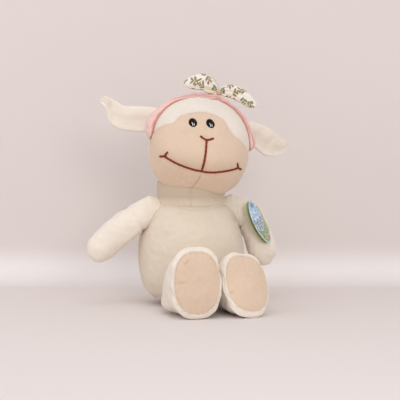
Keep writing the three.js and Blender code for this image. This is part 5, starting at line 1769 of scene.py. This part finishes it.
class LAMB_OT_arms(PieceOperator, bpy.types.Operator):
    """Add both arms, sewn to the torso"""

    bl_idname = "lamb.arms"
    bl_label = "Arms"

    def execute(self, context):
        for side, hand in SIDES.items():
            grid, seam = arm_grid(side)
            root = Vector(JOINTS[f"arm_{side}_lift"]["pos_m"])
            start = root + Vector((-hand * 4 * MM, 0, 0))
            end = root + Vector((hand * 12 * MM, 0, 0))
            self.limb(context, f"arm_{side}", grid, seam, (0, 0, -1), 0.7, start, end)
        return {"FINISHED"}


class LAMB_OT_legs(PieceOperator, bpy.types.Operator):
    """Add both legs with their soles"""

    bl_idname = "lamb.legs"
    bl_label = "Legs"

    def execute(self, context):
        for side in SIDES:
            grid, seam = leg_grid(side)
            root = Vector(JOINTS[f"leg_{side}_swing"]["pos_m"])
            start = root + Vector((0, 4 * MM, 0))
            end = root + Vector((0, -16 * MM, 0))
            forward = foot_frame(FOOT_POSES[side])[0]
            self.limb(context, f"leg_{side}", grid, seam, forward, 0.8, start, end)
            grid, seam = sole_grid(side)
            sole = closed_surface(f"sole_{side}_plush", grid, self.peach(context), {"seam": seam})
            give(sole, f"leg_{side}", "peach_plush", f"sole_{side}")
        return {"FINISHED"}


class LAMB_OT_tag(PieceOperator, bpy.types.Operator):
    """Add the folded swing tag and its fastener"""

    bl_idname = "lamb.tag"
    bl_label = "Swing Tag"

    def execute(self, context):
        colours = self.colours(context)
        front = tag_leaf("tag_front", 0.0, CARD / 2, card_material(colours))
        inside = plain_material("card inside", colours.leaf, 0.45, 220.0, 0.5)
        back = tag_leaf("tag_back", TAG_OPEN, -CARD / 2, inside)
        tag = join_all("swing_tag_card", [front, back])
        give(tag, "tag", "tag_card", "swing_tag")
        nylon = plain_material("clear nylon", linear(240, 240, 238), 0.3, 600.0, 0.05, transmission=0.75)
        give(self.fastener(nylon), "tag", "clear_nylon", "tag_fastener")
        return {"FINISHED"}

    def fastener(self, nylon):
        """A nylon pin that bends out of the arm and runs through both leaves to a flat head."""
        hole = np.array(JOINTS["tag_swing"]["pos_m"])
        pin = catmull(TAG_PIN, 36)
        head = np.array([(0, 0, height) for height, _ in TAG_HEAD])
        line = np.concatenate((pin[:1], pin, head)) * MM
        head_radii = [wide for _, wide in TAG_HEAD]
        radius = np.concatenate(((0,), np.full(len(pin), TAG_PIN_RADIUS), head_radii)) * MM
        along = unit(np.gradient(catmull(TAG_PIN, 36), axis=0))
        along = np.concatenate((along[:1], along, np.tile((0, 0, 1.0), (len(TAG_HEAD), 1))))
        first = unit(np.cross((0, 1, 0), along))
        second = np.cross(along, first)
        turn = ring_angles(32)[..., None]
        ring = first[:, None] * np.cos(turn) + second[:, None] * np.sin(turn)
        local = line[:, None] + ring * radius[:, None, None]
        return closed_surface("tag_fastener_nylon", hole + local @ np.array(tag_axes()), nylon)


class LAMB_OT_label(PieceOperator, bpy.types.Operator):
    """Add the blank satin label on the back seam"""

    bl_idname = "lamb.label"
    bl_label = "Care Label"

    def execute(self, context):
        width = context.scene.lamb_sizes.label_width
        low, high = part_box("care_label")
        t = np.linspace(0, 1, 60)[:, None]
        v = np.linspace(-0.5, 0.5, 20)[None]
        angle = math.pi * t
        height = high[2] - low[2]
        y = low[1] + 0.4 * MM + 1.8 * MM * (1 - np.cos(angle)) / 2 + 0.5 * MM * np.sin(v * 5 + t * 4)
        z = high[2] - height * np.sin(angle) ** 0.8
        grid = stacked(v * width, y, z)
        satin = plain_material("satin ribbon", linear(241, 239, 234), 0.45, 1500.0, 0.15)
        label = sheet_surface("care_label_satin", grid, satin, 0.25 * MM)
        give(label, "torso", "satin", "care_label")
        return {"FINISHED"}


class LAMB_OT_stuffing(PieceOperator, bpy.types.Operator):
    """Give the fibre fill and the bag of pellets inside their materials"""

    bl_idname = "lamb.stuffing"
    bl_label = "Stuffing"

    def execute(self, context):
        fibre = fibre_material()
        cotton = plain_material("pellet cotton", linear(207, 200, 184), 0.95, 900.0, 0.4)
        for name, node in frame["nodes"].items():
            if name.endswith("_stuffing") or name == "pellet_bag":
                node.data.materials.clear()
                node.data.materials.append(cotton if name == "pellet_bag" else fibre)
        return {"FINISHED"}


class LAMB_OT_stage(PieceOperator, bpy.types.Operator):
    """Add the floor and wall, the lamps and the camera"""

    bl_idname = "lamb.stage"
    bl_label = "Stage"

    def execute(self, context):
        self.backdrop(context)
        self.lamps(context)
        self.camera(context)
        context.scene.view_settings.view_transform = "Standard"
        return {"FINISHED"}

    def backdrop(self, context):
        """A floor that curves up into a wall behind the toy, square to the camera, with light painted as a
        brighter band at the foot of the wall. It is clear from behind."""
        wide = context.scene.lamb_sizes.floor
        turn = np.linspace(-math.pi / 2, 0, 24)
        curve_y = WALL_BEHIND + WALL_RADIUS * np.cos(turn)
        curve_z = WALL_RADIUS + WALL_RADIUS * np.sin(turn)
        profile = np.concatenate((
            ((-wide, 0),), np.stack((curve_y, curve_z), -1), ((WALL_BEHIND + WALL_RADIUS, WALL_HIGH),),
        ))
        x = np.linspace(-wide, wide, 3)[None]
        grid = stacked(x, profile[:, :1], profile[:, 1:])
        grid = grid @ np.array(Matrix.Rotation(CAMERA_AZIMUTH, 3, "Z")).T
        material, tree, shader = new_material("paper backdrop")
        place = place_of(tree)
        grain = noise(tree, place, 3.0, 1.0)
        colour = self.colours(context).backdrop
        height = add_node(tree, "ShaderNodeSeparateXYZ", {0: place}).outputs["Z"]
        # Painted light: a brighter band at the foot of the wall.
        away = math_node(tree, "DIVIDE", math_node(tree, "SUBTRACT", height, PAINTED_LIGHT_HEIGHT), PAINTED_LIGHT_WIDTH)
        square = math_node(tree, "POWER", away, 2.0)
        bell = math_node(tree, "EXPONENT", math_node(tree, "MULTIPLY", square, -1.0))
        share = math_node(tree, "MULTIPLY", bell, PAINTED_LIGHT_SHARE)
        curve = mix_colours(tree, share, (*colour, 1), PAINTED_LIGHT_COLOUR)
        shade = mix_colours(
            tree, math_node(tree, "MULTIPLY", grain, 0.08), curve, (*(c * 0.8 for c in colour), 1)
        )
        feed(tree, shader, {"Base Color": shade, "Roughness": 0.9, "Specular IOR Level": 0.1})
        clear = tree.nodes.new("ShaderNodeBsdfTransparent")
        behind_it = add_node(tree, "ShaderNodeNewGeometry").outputs["Backfacing"]
        inputs = {0: behind_it, 1: shader.outputs[0], 2: clear.outputs[0]}
        sides = add_node(tree, "ShaderNodeMixShader", inputs)
        tree.links.new(sides.outputs[0], tree.nodes["Material Output"].inputs[0])
        index = np.arange(grid.shape[0] * 3).reshape(-1, 3)
        quads = np.stack((index[:-1, :-1], index[:-1, 1:], index[1:, 1:], index[1:, :-1]), -1).reshape(-1, 4)
        build_mesh("backdrop", grid, quads.tolist(), material)

    def lamps(self, context):
        """A broad soft lamp above and ahead, a smaller one in front, a broad weak one on the toy's right, and
        an even pale sky."""
        for name, (place, size, power, colour) in LAMPS.items():
            data = bpy.data.lights.new(name, "AREA")
            data.size = size
            data.energy = power
            data.color = colour
            lamp = bpy.data.objects.new(name, data)
            lamp.location = place
            lamp.visible_camera = False
            aim = LAMP_TARGET - Vector(place)
            lamp.rotation_euler = aim.to_track_quat("-Z", "Y").to_euler()
            context.scene.collection.objects.link(lamp)
        world = bpy.data.worlds.new("pale sky")
        world.use_nodes = True
        background = world.node_tree.nodes["Background"]
        feed(world.node_tree, background, {"Color": SKY_COLOUR, "Strength": SKY_STRENGTH})
        context.scene.world = world

    def camera(self, context):
        """The camera at the photograph's angle."""
        back = Vector((
            math.sin(CAMERA_AZIMUTH) * math.cos(CAMERA_ELEVATION),
            -math.cos(CAMERA_AZIMUTH) * math.cos(CAMERA_ELEVATION),
            math.sin(CAMERA_ELEVATION),
        ))
        data = bpy.data.cameras.new("camera")
        data.lens = CAMERA_LENS
        data.sensor_width = CAMERA_SENSOR
        camera = bpy.data.objects.new("camera", data)
        camera.location = CAMERA_TARGET + back * CAMERA_DISTANCE
        camera.rotation_euler = (-back).to_track_quat("-Z", "Y").to_euler()
        context.scene.collection.objects.link(camera)
        context.scene.camera = camera


STEPS = (
    LAMB_OT_stage, LAMB_OT_torso, LAMB_OT_neck, LAMB_OT_head, LAMB_OT_features, LAMB_OT_headband,
    LAMB_OT_bow, LAMB_OT_ears, LAMB_OT_arms, LAMB_OT_legs, LAMB_OT_tag, LAMB_OT_label, LAMB_OT_stuffing,
)


class LAMB_PT_panel(bpy.types.Panel):
    """The lamb's settings and pieces"""

    bl_idname = "LAMB_PT_panel"
    bl_label = "Plush Lamb"
    bl_space_type = "VIEW_3D"
    bl_region_type = "UI"
    bl_category = "Plush Lamb"

    def draw(self, context):
        """Lists the settings, then a button for each step."""
        for settings in (context.scene.lamb_sizes, context.scene.lamb_colours):
            for key in settings.__annotations__:
                self.layout.prop(settings, key)
        for step in STEPS:
            self.layout.operator(step.bl_idname)


CLASSES = (LambSizes, LambColours, *STEPS, LAMB_PT_panel)


def register():
    """Registers the classes and their settings."""
    for one in CLASSES:
        bpy.utils.register_class(one)
    bpy.types.Scene.lamb_sizes = PointerProperty(type=LambSizes)
    bpy.types.Scene.lamb_colours = PointerProperty(type=LambColours)


def unregister():
    """Takes the settings and the classes away again."""
    del bpy.types.Scene.lamb_colours
    del bpy.types.Scene.lamb_sizes
    for one in reversed(CLASSES):
        bpy.utils.unregister_class(one)


def main():
    """Builds every piece in order."""
    register()
    for step in STEPS:
        group, name = step.bl_idname.split(".")
        getattr(getattr(bpy.ops, group), name)()


if __name__ == "__main__":
    main()
